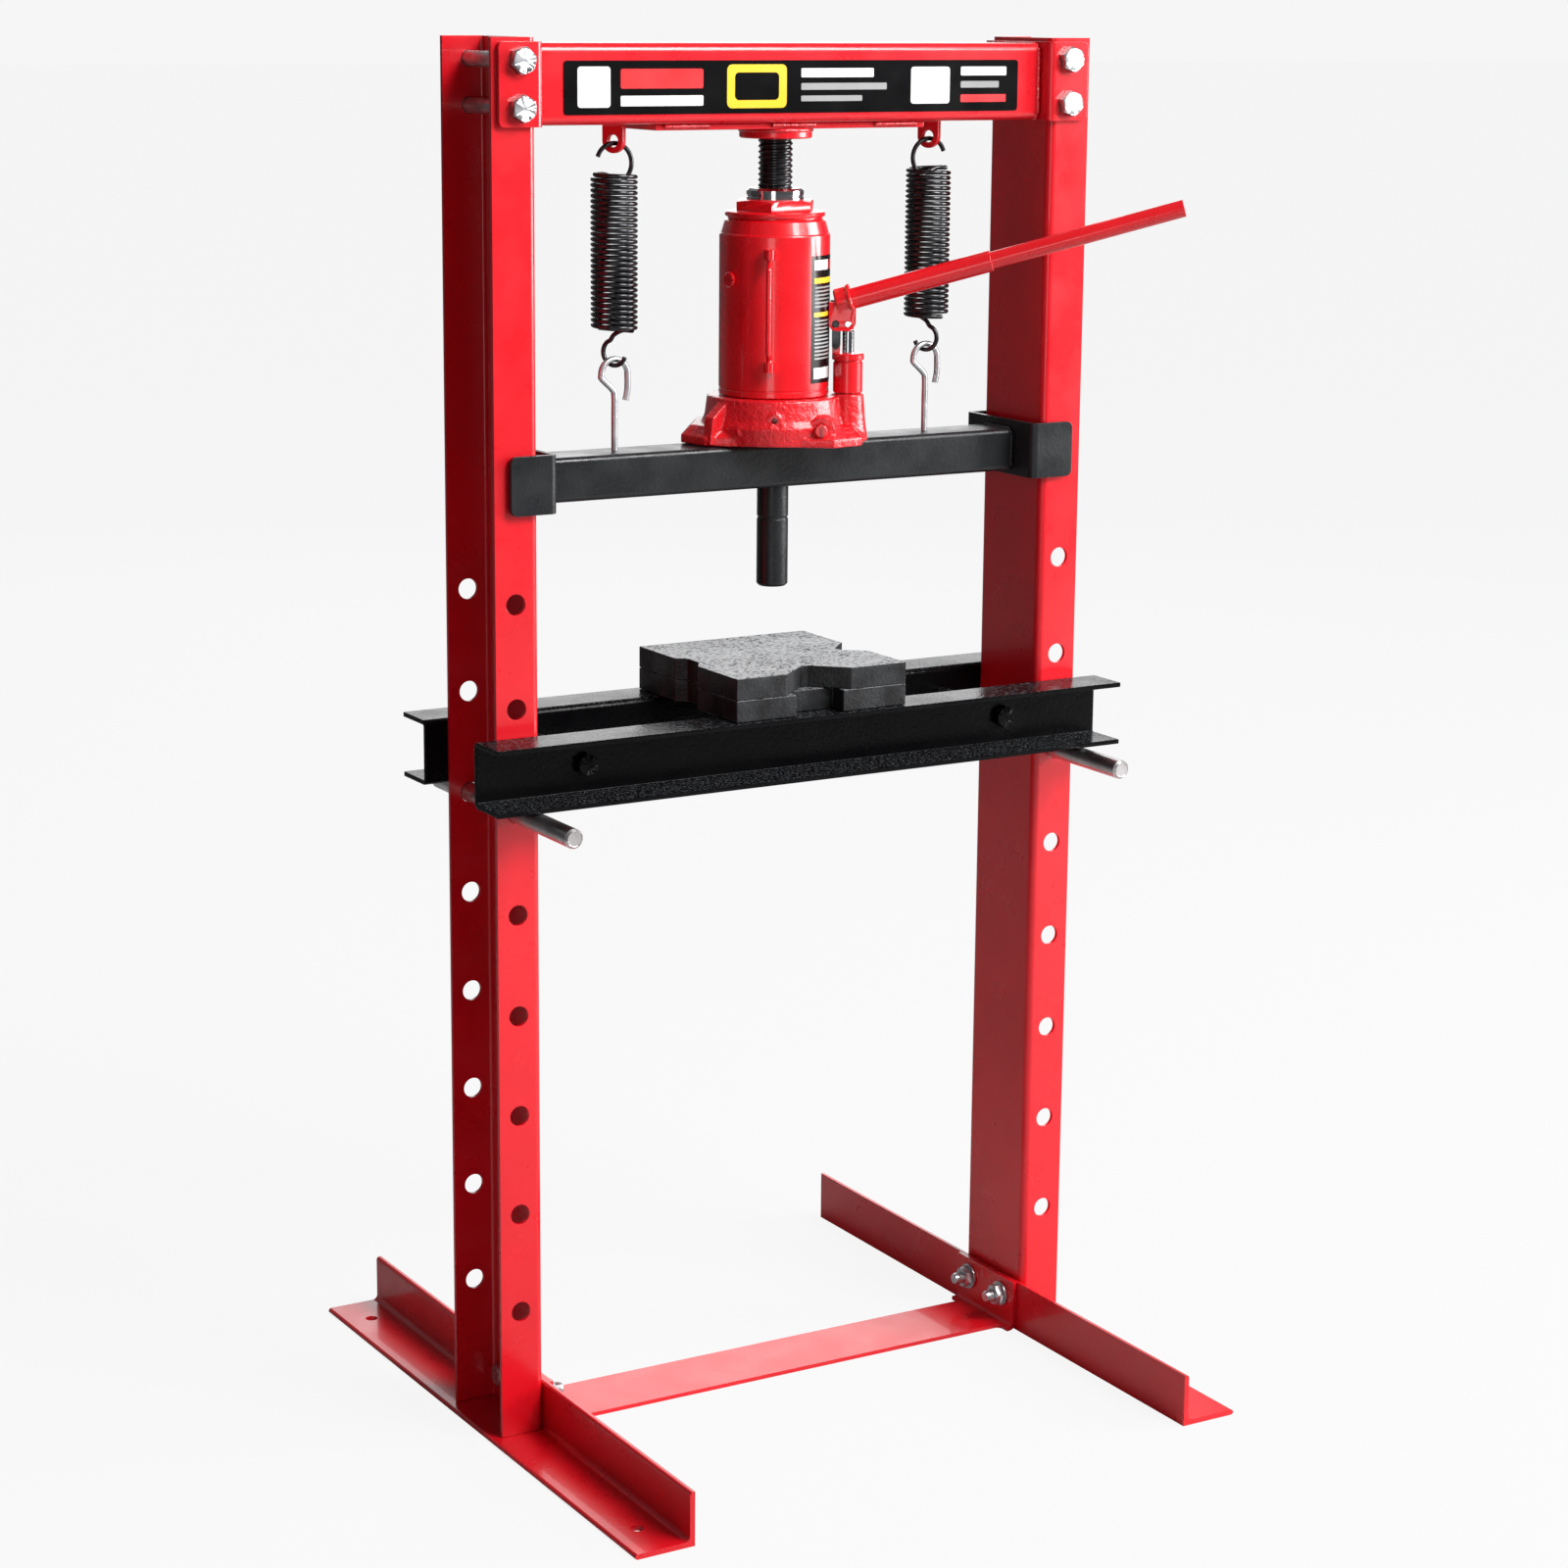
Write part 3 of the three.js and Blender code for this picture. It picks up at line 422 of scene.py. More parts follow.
even = (1, 1, 1)
finishes = {
    "redPaint": {
        "color": (0.7, 0.004, 0.013), "shade": (0.62, 0.003, 0.01), "roughness": (0.27, 0.34), "coat": 0.35,
        "coatRoughness": 0.06, "bumps": ((160, 0.0003, even), (14, 0.0012, even)), "bumpStrength": 0.22,
    },
    "jackPaint": {
        "color": (0.8, 0.005, 0.012), "shade": (0.7, 0.003, 0.009), "roughness": (0.24, 0.32), "coat": 0.5,
        "coatRoughness": 0.05, "bumps": ((220, 0.0003, even), (30, 0.0006, even)), "bumpStrength": 0.28,
    },
    "castPaint": {
        "color": (0.76, 0.005, 0.013), "shade": (0.6, 0.003, 0.009), "roughness": (0.28, 0.4), "coat": 0.4,
        "coatRoughness": 0.1, "bumps": ((190, 0.0026, even), (600, 0.0008, even)), "bumpStrength": 0.6,
    },
    "weldPaint": {
        "color": (0.74, 0.01, 0.02), "shade": (0.5, 0.004, 0.01), "roughness": (0.2, 0.34), "coat": 0.8,
        "bumps": ((380, 0.0009, even),), "bumpStrength": 0.5,
    },
    "blackPaint": {
        "color": (0.012, 0.013, 0.015), "shade": (0.008, 0.009, 0.01), "roughness": (0.26, 0.38), "coat": 0,
        "specular": 0.4,
        "bumps": ((300, 0.0006, even), (16, 0.0012, even)), "bumpStrength": 0.4,
    },
    "bedPaint": {
        "color": (0.0035, 0.0036, 0.004), "shade": (0.002, 0.002, 0.0025), "roughness": (0.16, 0.26), "coat": 0,
        "specular": 0.1,
        # grey flecks on the top faces: dust, and a painted speckled reflection of the light above
        "dustAndSheenFleck": {"scale": 420, "from": 0.52, "amount": 0.28, "color": (0.2, 0.21, 0.23), "roughness": 0.34,
                  "top": True},
        "bumps": ((320, 0.0008, even), (18, 0.0012, even)), "bumpStrength": 0.45,
    },
    "plateIron": {
        "color": (0.03, 0.031, 0.033), "shade": (0.012, 0.012, 0.013), "roughness": (0.34, 0.55),
        "patch": 40, "metallic": 0.5,
        # light grey flecks on the top faces: dust, and a painted sheen from the light above
        "dustAndSheenFleck": {"scale": 330, "from": 0.42, "amount": 0.85, "color": (0.4, 0.41, 0.42), "roughness": 0.44,
                  "top": True},
        "bumps": ((360, 0.001, even), (60, 0.0009, even)), "bumpStrength": 0.5,
    },
    "zinc": {
        "color": (0.66, 0.67, 0.68), "shade": (0.5, 0.51, 0.53), "roughness": (0.3, 0.46), "metallic": 1,
        "patch": 90, "bumps": ((500, 0.0003, even),), "bumpStrength": 0.4,
    },
    "pinSteel": {
        "color": (0.72, 0.69, 0.69), "shade": (0.58, 0.55, 0.55), "roughness": (0.3, 0.4), "metallic": 1,
        "patch": 60, "bumps": ((240, 0.0001, (1, 12, 1)),), "bumpStrength": 0.2,
    },
    "oiledSteel": {
        "color": (0.05, 0.051, 0.055), "shade": (0.02, 0.02, 0.022), "roughness": (0.24, 0.42), "metallic": 0.9,
        "patch": 70, "coat": 0.3, "bumps": ((420, 0.0004, even),), "bumpStrength": 0.4,
    },
    "springSteel": {
        "color": (0.035, 0.036, 0.04), "shade": (0.015, 0.015, 0.017), "roughness": (0.22, 0.36),
        "metallic": 0.85, "coat": 0.4, "patch": 110, "bumps": ((600, 0.0003, even),), "bumpStrength": 0.4,
    },
    "chrome": {
        "color": (0.74, 0.75, 0.77), "shade": (0.66, 0.67, 0.69), "roughness": (0.06, 0.14), "metallic": 1,
        "bumps": ((300, 0.0001, (1, 1, 0.1)),), "bumpStrength": 0.2,
    },
    "signFilm": {
        "color": (0.004, 0.004, 0.0045), "shade": (0.003, 0.003, 0.003), "roughness": (0.14, 0.22), "coat": 0,
        "specular": 0.3,
        "bumps": ((60, 0.0003, even),), "bumpStrength": 0.3,
    },
    "whitePrint": {
        "color": (0.74, 0.74, 0.73), "shade": (0.66, 0.66, 0.66), "roughness": (0.34, 0.46),
        "bumps": ((400, 0.0001, even),),
    },
    "yellowPrint": {
        "color": (0.86, 0.52, 0.02), "shade": (0.8, 0.46, 0.015), "roughness": (0.34, 0.46),
        "bumps": ((400, 0.0001, even),),
    },
    "redPrint": {
        "color": (0.62, 0.015, 0.02), "shade": (0.56, 0.012, 0.016), "roughness": (0.34, 0.46),
        "bumps": ((400, 0.0001, even),),
    },
    "greyPrint": {
        "color": (0.3, 0.3, 0.3), "shade": (0.24, 0.24, 0.24), "roughness": (0.36, 0.48),
        "bumps": ((400, 0.0001, even),),
    },
}
surface = {name: makeSurface(name, look) for name, look in finishes.items()}

# A kept CAD node's finish, by the record's slot; every other node is replaced below.
slotFinish = {
    "red_paint": "redPaint", "jack_paint": "jackPaint", "black_paint": "blackPaint", "zinc_steel": "zinc",
    "chromed_steel": "chrome", "oiled_steel": "oiledSteel", "plate_iron": "plateIron",
    "black_rubber": "jackPaint", "sign_film": "signFilm",
}
for node, shape in frame["nodes"].items():
    shape.data.materials.clear()
    shape.data.materials.append(surface[slotFinish[slotOf[node]]])
print("materials done")


# ---- columns, feet and brace --------------------------------------------------------------------
column = {"sheet": 4, "bend": 7, "holeX": 289, "holeRadius": 9.25, "lowest": 124, "pitch": 93.5, "holes": 8}
footBolt = {"y": 28, "z": 32, "radius": 6, "hex": 10.9, "head": 7.5, "washer": 2.5, "tail": 9}
topBolt = {"x": 283, "z": (1205.5, 1245.5), "radius": 7, "hex": 12.1, "head": 8, "washer": 2.5, "tail": 6}


def modelColumn(side, sign):
    low, high = extent(f"{side}_column")
    web, tip = (high.x, low.x) if sign < 0 else (low.x, high.x)
    corners = [(tip, low.y, low.z), (web, low.y, low.z), (web, high.y, low.z), (tip, high.y, low.z)]
    piece = foldedSheet(corners, (0, 0, high.z - low.z), column["sheet"], column["bend"])
    holes = [addRod(column["holeRadius"], (sign * column["holeX"], -70, z), (sign * column["holeX"], 70, z))
             for z in (column["lowest"] + i * column["pitch"] for i in range(column["holes"]))]
    holes += [addRod(topBolt["radius"] + 0.3, (sign * topBolt["x"], -70, z), (sign * topBolt["x"], 70, z), 32)
              for z in topBolt["z"]]
    holes += [addRod(footBolt["radius"] + 0.3, (web - 10, y, footBolt["z"]), (web + 10, y, footBolt["z"]), 32)
              for y in (-footBolt["y"], footBolt["y"])]
    cutOut(piece, *holes)
    soften(piece, 0.5)
    replaceNodes(piece, f"{side}_column", surface["redPaint"], f"column{side.title()}")


foot = {"thick": 5, "root": 5, "anchorX": 292.4, "anchorY": 280, "anchorRadius": 6}


def modelFoot(side, sign):
    low, high = extent(f"{side}_foot")
    thick, width, height = foot["thick"], high.x - low.x, high.z - low.z
    root = thick + foot["root"]
    outline = [(0, 0), (width - 2, 0), (width, 1.5), *arc((width - 3, thick - 3), 3, 0, 90, 4),
               *arc((root, root), foot["root"], 270, 180, 8), *arc((thick - 3, height - 3), 3, 0, 90, 4),
               (0, height)]
    inner = low.x if sign > 0 else high.x
    piece = drawn([(inner + sign * x, low.y, z) for x, z in outline], (0, high.y - low.y, 0))
    seat = addBlock((inner + sign * thick if sign > 0 else inner - 11, -50.5, thick),
                    (inner + 11 if sign > 0 else inner - thick, 50.5, 11))
    holes = [addRod(foot["anchorRadius"], (sign * foot["anchorX"], y, -5), (sign * foot["anchorX"], y, 15))
             for y in (-foot["anchorY"], foot["anchorY"])]
    holes += [addRod(footBolt["radius"] + 0.3, (inner - 10, y, footBolt["z"]), (inner + 10, y, footBolt["z"]), 32)
              for y in (-footBolt["y"], footBolt["y"])]
    cutOut(piece, seat)
    cutOut(piece, *holes)
    soften(piece, 0.6)
    replaceNodes(piece, f"{side}_foot", surface["redPaint"], f"foot{side.title()}")


brace = {"thick": 4, "bend": 8, "waist": 36.5, "run": 250, "corner": 6}


def modelBrace():
    low, high = extent("cross_brace")
    corners = [(low.x, low.y, high.z), (low.x, low.y, low.z), (high.x, low.y, low.z), (high.x, low.y, high.z)]
    piece = foldedSheet(corners, (0, high.y - low.y, 0), brace["thick"], brace["bend"])
    for sign in (-1, 1):
        trim = addBlock((-brace["run"], min(sign * brace["waist"], sign * 60), -5),
                        (brace["run"], max(sign * brace["waist"], sign * 60), 60))
        pick(trim, "EDGE", lambda middle, along: abs(along.z) > 0.9 and abs(middle.y) < 40)
        bpy.ops.mesh.bevel(offset=brace["corner"], segments=6, affect="EDGES")
        closeEdit()
        cutOut(piece, trim)
    cutOut(piece, *(addRod(footBolt["radius"] + 0.3, (-270, y, footBolt["z"]), (270, y, footBolt["z"]), 32)
                    for y in (-footBolt["y"], footBolt["y"])))
    soften(piece, 0.5)
    replaceNodes(piece, "cross_brace", surface["redPaint"], "crossBrace")


for side, sign in sides:
    modelColumn(side, sign)
    modelFoot(side, sign)
modelBrace()
print("columns, feet and brace done")


# ---- top beam -----------------------------------------------------------------------------------
beam = {"wall": 4, "corner": 8, "weld": 2.2}
bracket = {"thick": 5, "bend": 7}


def modelTopBeam():
    low, high = extent("top_beam")
    piece = soften(squareTube(low, high, beam["wall"], beam["corner"]), 0.4)
    replaceNodes(piece, "top_beam", surface["redPaint"], "topBeam")
    for side, sign in sides:
        x, inset = sign * (high.x - 2), beam["corner"] - 2
        front, bottom, top = low.y - 0.2, low.z - 0.1, high.z - 0.8
        corners = [(x, front + inset, bottom + 0.8), (x, front + 0.8, bottom + inset), (x, front + 0.8, top - inset),
                   (x, front + inset, top - 0.3), (x, -front - inset, top - 0.3), (x, -front - 0.8, top - inset),
                   (x, -front - 0.8, bottom + inset), (x, -front - inset, bottom + 0.8)]
        bead = beadsAlong(corners, beam["weld"])
        install(bead, "top_beam", surface["weldPaint"], f"beamWeld{side.title()}")


def modelBracket(side, sign):
    low, high = extent(f"top_bracket_{side}")
    web, tip = (high.x, low.x) if sign < 0 else (low.x, high.x)
    corners = [(tip, low.y, low.z), (web, low.y, low.z), (web, high.y, low.z), (tip, high.y, low.z)]
    piece = foldedSheet(corners, (0, 0, high.z - low.z), bracket["thick"], bracket["bend"])
    pick(piece, "EDGE", lambda middle, along: abs(along.y) > 0.9 and abs(middle.x - tip) < 0.5)
    bpy.ops.mesh.bevel(offset=5, segments=5, affect="EDGES")
    closeEdit()
    cutOut(piece, *(addRod(topBolt["radius"] + 0.3, (sign * topBolt["x"], -70, z), (sign * topBolt["x"], 70, z), 32)
                    for z in topBolt["z"]))
    soften(piece, 0.6)
    replaceNodes(piece, f"top_bracket_{side}", surface["redPaint"], f"topBracket{side.title()}")


def modelDoubler():
    low, high = extent("top_doubler")
    piece = soften(addBlock(low, high), 1.2, 3)
    replaceNodes(piece, "top_doubler", surface["redPaint"], "topDoubler")
    z = high.z - 1.8
    beads = [beadsAlong([(start, y, z), (start + 46, y, z)], 1.9)
             for start in (-132, -22, 86) for y in (low.y - 0.6, high.y + 0.6)]
    install(joined(*beads), "top_doubler", surface["weldPaint"], "doublerWelds")
    cupLow, cupHigh = extent("ram_cup")
    outer, wall = (cupHigh.x - cupLow.x) / 2, 4
    ring = turned([(outer - wall, cupHigh.z), (outer, cupHigh.z), (outer, cupLow.z + 1.2),
                   (outer - 1.2, cupLow.z), (outer - wall + 1.2, cupLow.z), (outer - wall, cupLow.z + 1.2),
                   (outer - wall, cupHigh.z)])
    replaceNodes(soften(ring, 0.3), "ram_cup", surface["redPaint"], "ramCup")
    steps = 150
    circle = [(0.98 * outer * math.cos(2 * math.pi * i / steps), 0.98 * outer * math.sin(2 * math.pi * i / steps),
               cupHigh.z - 1.2) for i in range(steps + 1)]
    swell = [0.85 + 0.2 * abs(math.sin(0.9 * i)) for i in range(steps + 1)]
    install(bentWire(circle, 1.9, 10, swell), "ram_cup", surface["weldPaint"], "cupWeld")


modelTopBeam()
for side, sign in sides:
    modelBracket(side, sign)
modelDoubler()
print("top beam done")


# ---- bolts and nuts -----------------------------------------------------------------------------
def modelBolts(kind, bolt, names, places, grip):
    # heads below Z = 0 and shanks up; places are (matrix of the bolt, matrix of the nut)
    head = moved(hexPrism(bolt["hex"], bolt["head"]), Matrix.Rotation(math.pi, 4, "X"))
    shankLength = grip + bolt["head"] + bolt["washer"] + bolt["tail"]
    shank = threadedRod(bolt["radius"] - 0.05, -0.5, shankLength, 1.75, max(grip - 8, 4))
    boltShape = joined(head, shank)
    nut = moved(hexPrism(bolt["hex"], bolt["head"]), Matrix.Translation((0, 0, bolt["washer"])))
    washer = turned([(bolt["radius"] + 0.3, 0), (bolt["hex"] * 1.13, 0), (bolt["hex"] * 1.15, 0.5),
                     (bolt["hex"] * 1.15, bolt["washer"] - 0.5), (bolt["hex"] * 1.13, bolt["washer"]),
                     (bolt["radius"] + 0.3, bolt["washer"]), (bolt["radius"] + 0.3, 0)], 40)
    cutOut(nut, addRod(bolt["radius"] + 0.25, (0, 0, -5), (0, 0, 40), 32))
    nutShape = joined(nut, smoothed(washer))
    for name, (boltPlace, nutPlace) in zip(names, places):
        label = "".join(word.title() for word in name.split("_"))
        replaceNodes(copied(boltShape, boltPlace), f"{kind}_bolt_{name}", surface["zinc"], f"{kind}Bolt{label}")
        replaceNodes(copied(nutShape, nutPlace), f"{kind}_nut_{name}", surface["zinc"], f"{kind}Nut{label}")
    bpy.data.objects.remove(boltShape)
    bpy.data.objects.remove(nutShape)


def alongX(sign, x, y, z, spin):
    return (Matrix.Translation((x, y, z)) @ Matrix.Rotation(-sign * math.pi / 2, 4, "Y")
            @ Matrix.Rotation(math.radians(spin), 4, "Z"))


def alongY(x, y, z, spin):
    return (Matrix.Translation((x, y, z)) @ Matrix.Rotation(-math.pi / 2, 4, "X")
            @ Matrix.Rotation(math.radians(spin), 4, "Z"))


footOuter, footInner = 270.3, 256.1
footNames = [f"{side}_{end}" for side, _ in sides for end, _ in ends]
footPlaces = [(alongX(sign, sign * footOuter, way * footBolt["y"], footBolt["z"], dice.uniform(0, 60)),
               alongX(sign, sign * footInner, way * footBolt["y"], footBolt["z"], dice.uniform(0, 60)))
              for _, sign in sides for _, way in ends]
modelBolts("foot", footBolt, footNames, footPlaces, footOuter - footInner)
earFace = extent("top_bracket_left")[1].y + 0.3
topNames = [f"{side}_{level}" for side, _ in sides for level in ("lower", "upper")]
topPlaces = [(alongY(sign * topBolt["x"], -earFace, z, dice.uniform(0, 60)),
              alongY(sign * topBolt["x"], earFace, z, dice.uniform(0, 60)))
             for _, sign in sides for z in topBolt["z"]]
modelBolts("top", topBolt, topNames, topPlaces, 2 * earFace)
print("bolts done")


# ---- sign ---------------------------------------------------------------------------------------
sign = {"corner": 3, "thick": 0.5, "print": 0.12}
signMarks = (
    # material, left, right, bottom and top within the panel, corner
    ("yellowPrint", -74, -13, 1203.5, 1241.5, 5),
    ("whitePrint", -222, -190, 1205, 1240, 3),
    ("redPrint", -180, -98, 1221, 1238, 2),
    ("whitePrint", -180, -98, 1206, 1215, 1),
    ("whitePrint", 2, 78, 1230, 1238, 1),
    ("greyPrint", 2, 92, 1219, 1225, 1),
    ("greyPrint", 2, 66, 1209, 1214, 1),
    ("whitePrint", 118, 160, 1206, 1239, 3),
    ("whitePrint", 172, 222, 1231, 1239, 1),
    ("greyPrint", 172, 214, 1220, 1226, 1),
    ("redPrint", 172, 222, 1207, 1214, 1),
)


def modelFilm(x1, x2, z1, z2, front, back, corner):
    piece = addBlock((x1, front, z1), (x2, back, z2))
    pick(piece, "EDGE", lambda _, along: abs(along.y) > 0.9)
    bpy.ops.mesh.bevel(offset=corner, segments=5, affect="EDGES")
    closeEdit()
    return smoothed(piece)


def modelSign():
    low, high = extent("sign_panel")
    face = high.y - sign["thick"]
    panel = modelFilm(low.x, high.x, low.z, high.z, face, high.y, sign["corner"])
    replaceNodes(panel, "sign_panel", surface["signFilm"], "signPanel")
    inlay = modelFilm(-66, -21, 1210.5, 1234.5, face - 2 * sign["print"], face, 4)
    install(inlay, "sign_panel", surface["signFilm"], "signInlay")
    for index, (finish, x1, x2, z1, z2, corner) in enumerate(signMarks):
        mark = modelFilm(x1, x2, z1, z2, face - sign["print"], face, corner)
        install(mark, "sign_panel", surface[finish], f"signMark{index}")


modelSign()
print("sign done")


# ---- spring eyes, springs and wire hooks --------------------------------------------------------
eye = {"x": 165, "z": 1174.9, "radius": 10.8, "hole": 5.5, "thick": 6, "turn": -60}
spring = {"radius": 19, "wire": 2.1, "turns": 28, "top": 1145.9, "bottom": 1009.3, "topHook": 17.4,
          "topCentre": 1155.5, "lowHook": 11.6, "lowTurn": -60, "lowCentre": 989.0}
hook = {"wire": 2.8, "loop": 13.2, "neck": 14, "tail": 24}


def modelEyes():
    low, high = extent("spring_eye_left")
    half, thick = eye["radius"], eye["thick"] / 2
    outline = [(half, high.z), (-half, high.z),
               *arc((0, eye["z"]), half, 180, 360, 28)]
    plate = drawn([(x, -thick, z) for x, z in outline], (0, 2 * thick, 0))
    cutOut(plate, addRod(eye["hole"], (0, -9, eye["z"]), (0, 9, eye["z"])))
    soften(plate, 1, 3)
    turn = Matrix.Rotation(math.radians(eye["turn"]), 4, "Z")
    for side, sign in sides:
        place = Matrix.Translation((sign * eye["x"], 0, 0))
        replaceNodes(copied(plate, turn, place), f"spring_eye_{side}", surface["redPaint"], f"eye{side.title()}")
        bead = joined(*(weldBead((-half + 1, y, high.z - 1), (half - 1, y, high.z - 1), 1.5)
                        for y in (-thick + 0.4, thick - 0.4)))
        install(moved(bead, turn, place), f"spring_eye_{side}", surface["weldPaint"], f"eyeWeld{side.title()}")
    bpy.data.objects.remove(plate)


def hookPoints(radius, up, centre, coilEnd):
    # from the coil's rim across to its middle, and round most of a circle, in X and Z
    return [(-spring["radius"], 0, coilEnd), (-spring["radius"] / 2, 0, coilEnd),
            (0, 0, (coilEnd + centre - up * radius) / 2),
            *((x, 0, centre + up * z) for x, z in arc((0, 0), radius, -70, 160, 12))]


def springPoints():
    lowTurn = math.radians(spring["lowTurn"])
    wholeTurn = 2 * math.pi * (spring["turns"] + 1) + lowTurn
    steps = 24 * spring["turns"]
    coil = []
    for i in range(1, steps):
        angle = math.pi + wholeTurn * i / steps
        coil.append(Vector((spring["radius"] * math.cos(angle), spring["radius"] * math.sin(angle),
                            spring["top"] + (spring["bottom"] - spring["top"]) * i / steps)))
    top = rounded(hookPoints(spring["topHook"], 1, spring["topCentre"], spring["top"]), 5)
    low = rounded(hookPoints(spring["lowHook"], -1, spring["lowCentre"], spring["bottom"]), 5)
    turn = Matrix.Rotation(math.pi + lowTurn, 3, "Z")
    return [*reversed(top), *coil, *(turn @ point for point in low)]


def modelSprings():
    coil = bentWire(springPoints(), spring["wire"], 12)
    for side, sign in sides:
        turn = Matrix.Rotation(0 if sign < 0 else math.pi, 4, "Z")
        piece = copied(coil, turn, Matrix.Translation((sign * eye["x"], 0, 0)))
        node = f"return_spring_{side}"
        piece.name = f"spring{side.title()}"
        moved(piece, Matrix.Scale(millimetre, 4))
        piece.data.materials.append(surface["springSteel"])
        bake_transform(piece)
        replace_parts(piece, node)
    bpy.data.objects.remove(coil)


def modelHooks():
    low, high = extent("spring_hook_left")
    centre = high.z - hook["wire"] - hook["loop"]
    loop = [(x, 0, z) for x, z in arc((0, centre), hook["loop"], 198, 0, 14)]
    points = [(0, 0, low.z), (0, 0, low.z + 30), (0, 0, centre - hook["loop"] - hook["neck"] / 2),
              (-2, 0, centre - hook["neck"]), *loop, (hook["loop"], 0, centre - hook["neck"]),
              (hook["loop"] - 2, 0, centre - hook["tail"])]
    wire = bentWire(rounded(points, 5), hook["wire"], 14)
    for side, sign in sides:
        piece = copied(wire, Matrix.Translation((sign * eye["x"], 0, 0)))
        replaceNodes(piece, f"spring_hook_{side}", surface["zinc"], f"springHook{side.title()}")
    bpy.data.objects.remove(wire)


modelEyes()
modelSprings()
modelHooks()
print("springs done")


# ---- moving beam --------------------------------------------------------------------------------
mover = {"wall": 4, "corner": 5}
guide = {"thick": 5, "bend": 7}


def modelMovingBeam():
    low, high = extent("moving_beam_tube")
    tube = soften(squareTube(low, high, mover["wall"], mover["corner"]), 0.4)
    replaceNodes(tube, "moving_beam_tube", surface["blackPaint"], "movingBeam")
    for side, sign in sides:
        guideLow, guideHigh = extent(f"guide_{side}")
        web, tip = (guideHigh.x, guideLow.x) if sign < 0 else (guideLow.x, guideHigh.x)
        corners = [(tip, guideLow.y, guideLow.z), (web, guideLow.y, guideLow.z),
                   (web, guideHigh.y, guideLow.z), (tip, guideHigh.y, guideLow.z)]
        piece = foldedSheet(corners, (0, 0, guideHigh.z - guideLow.z), guide["thick"], guide["bend"])
        pick(piece, "EDGE", lambda middle, along: abs(along.y) > 0.9 and abs(middle.x - tip) < 0.5)
        bpy.ops.mesh.bevel(offset=6, segments=5, affect="EDGES")
        closeEdit()
        soften(piece, 0.6)
        replaceNodes(piece, f"guide_{side}", surface["blackPaint"], f"guide{side.title()}")
        x = sign * (high.x - 1.6)
        front, inset = low.y - 0.3, mover["corner"]
        corners = [(x, front + 0.8, low.z + inset), (x, front + 0.8, high.z - inset), (x, front + inset, high.z - 0.4),
                   (x, -front - inset, high.z - 0.4), (x, -front - 0.8, high.z - inset),
                   (x, -front - 0.8, low.z + inset)]
        install(beadsAlong(corners, 1.9), "moving_beam_tube", surface["blackPaint"], f"guideWeld{side.title()}")
    low, high = extent("mandrel")
    radius = (high.x - low.x) / 2
    shape = turned([(0, low.z), (radius - 2.2, low.z), (radius, low.z + 2.2), (radius, low.z + 62),
                    (radius - 0.7, low.z + 62.8), (radius - 0.7, low.z + 64.6), (radius, low.z + 65.4),
                    (radius, high.z), (0, high.z)])
    replaceNodes(soften(shape, 0.3), "mandrel", surface["blackPaint"], "mandrel")


modelMovingBeam()
print("moving beam done")


# ---- bottle jack, modelled with +X towards the pump and the beam's top at Z = 0 -----------------
jackPlace = (Matrix.Translation((0, 0, extent("jack_base")[0].z)) @ Matrix.Rotation(math.radians(-35), 4, "Z"))
jackBase = {
    "left": -82, "right": 84, "halfDepth": 58, "chamfer": 24, "edge": 8, "flare": 9, "collar": (64, 61),
    "height": 43, "ribAngles": (135, 225), "rib": 12, "ribReach": 77, "ribHeight": 26,
}
tank = {"radius": 50.4, "low": 43.3, "shoulder": 187.3, "high": 209.3, "neck": 43.7}
filler = {"angle": -136, "z": 149, "radius": 5, "head": 7, "thick": 3.4}
carry = {"low": 72, "high": 173, "reach": 9, "wire": 2.5, "lug": 5.5}
valve = {"x": 48, "z": 16, "boss": 12, "face": 52, "stem": 5.9, "out": 7}
pump = {"x": 68, "radius": 13.5, "low": 45.3, "high": 81.3, "cap": 14.6, "boss": 15}


def toJack(piece, nodes, finish, name):
    return replaceNodes(moved(piece, jackPlace), nodes, surface[finish], name)


def octagon(inset):
    left, right, depth = jackBase["left"] + inset, jackBase["right"] - inset, jackBase["halfDepth"] - inset
    cut = jackBase["chamfer"]
    return [(right - cut, -depth), (right, -depth + cut), (right, depth - cut), (right - cut, depth),
            (left + cut, depth), (left, depth - cut), (left, -depth + cut), (left + cut, -depth)]


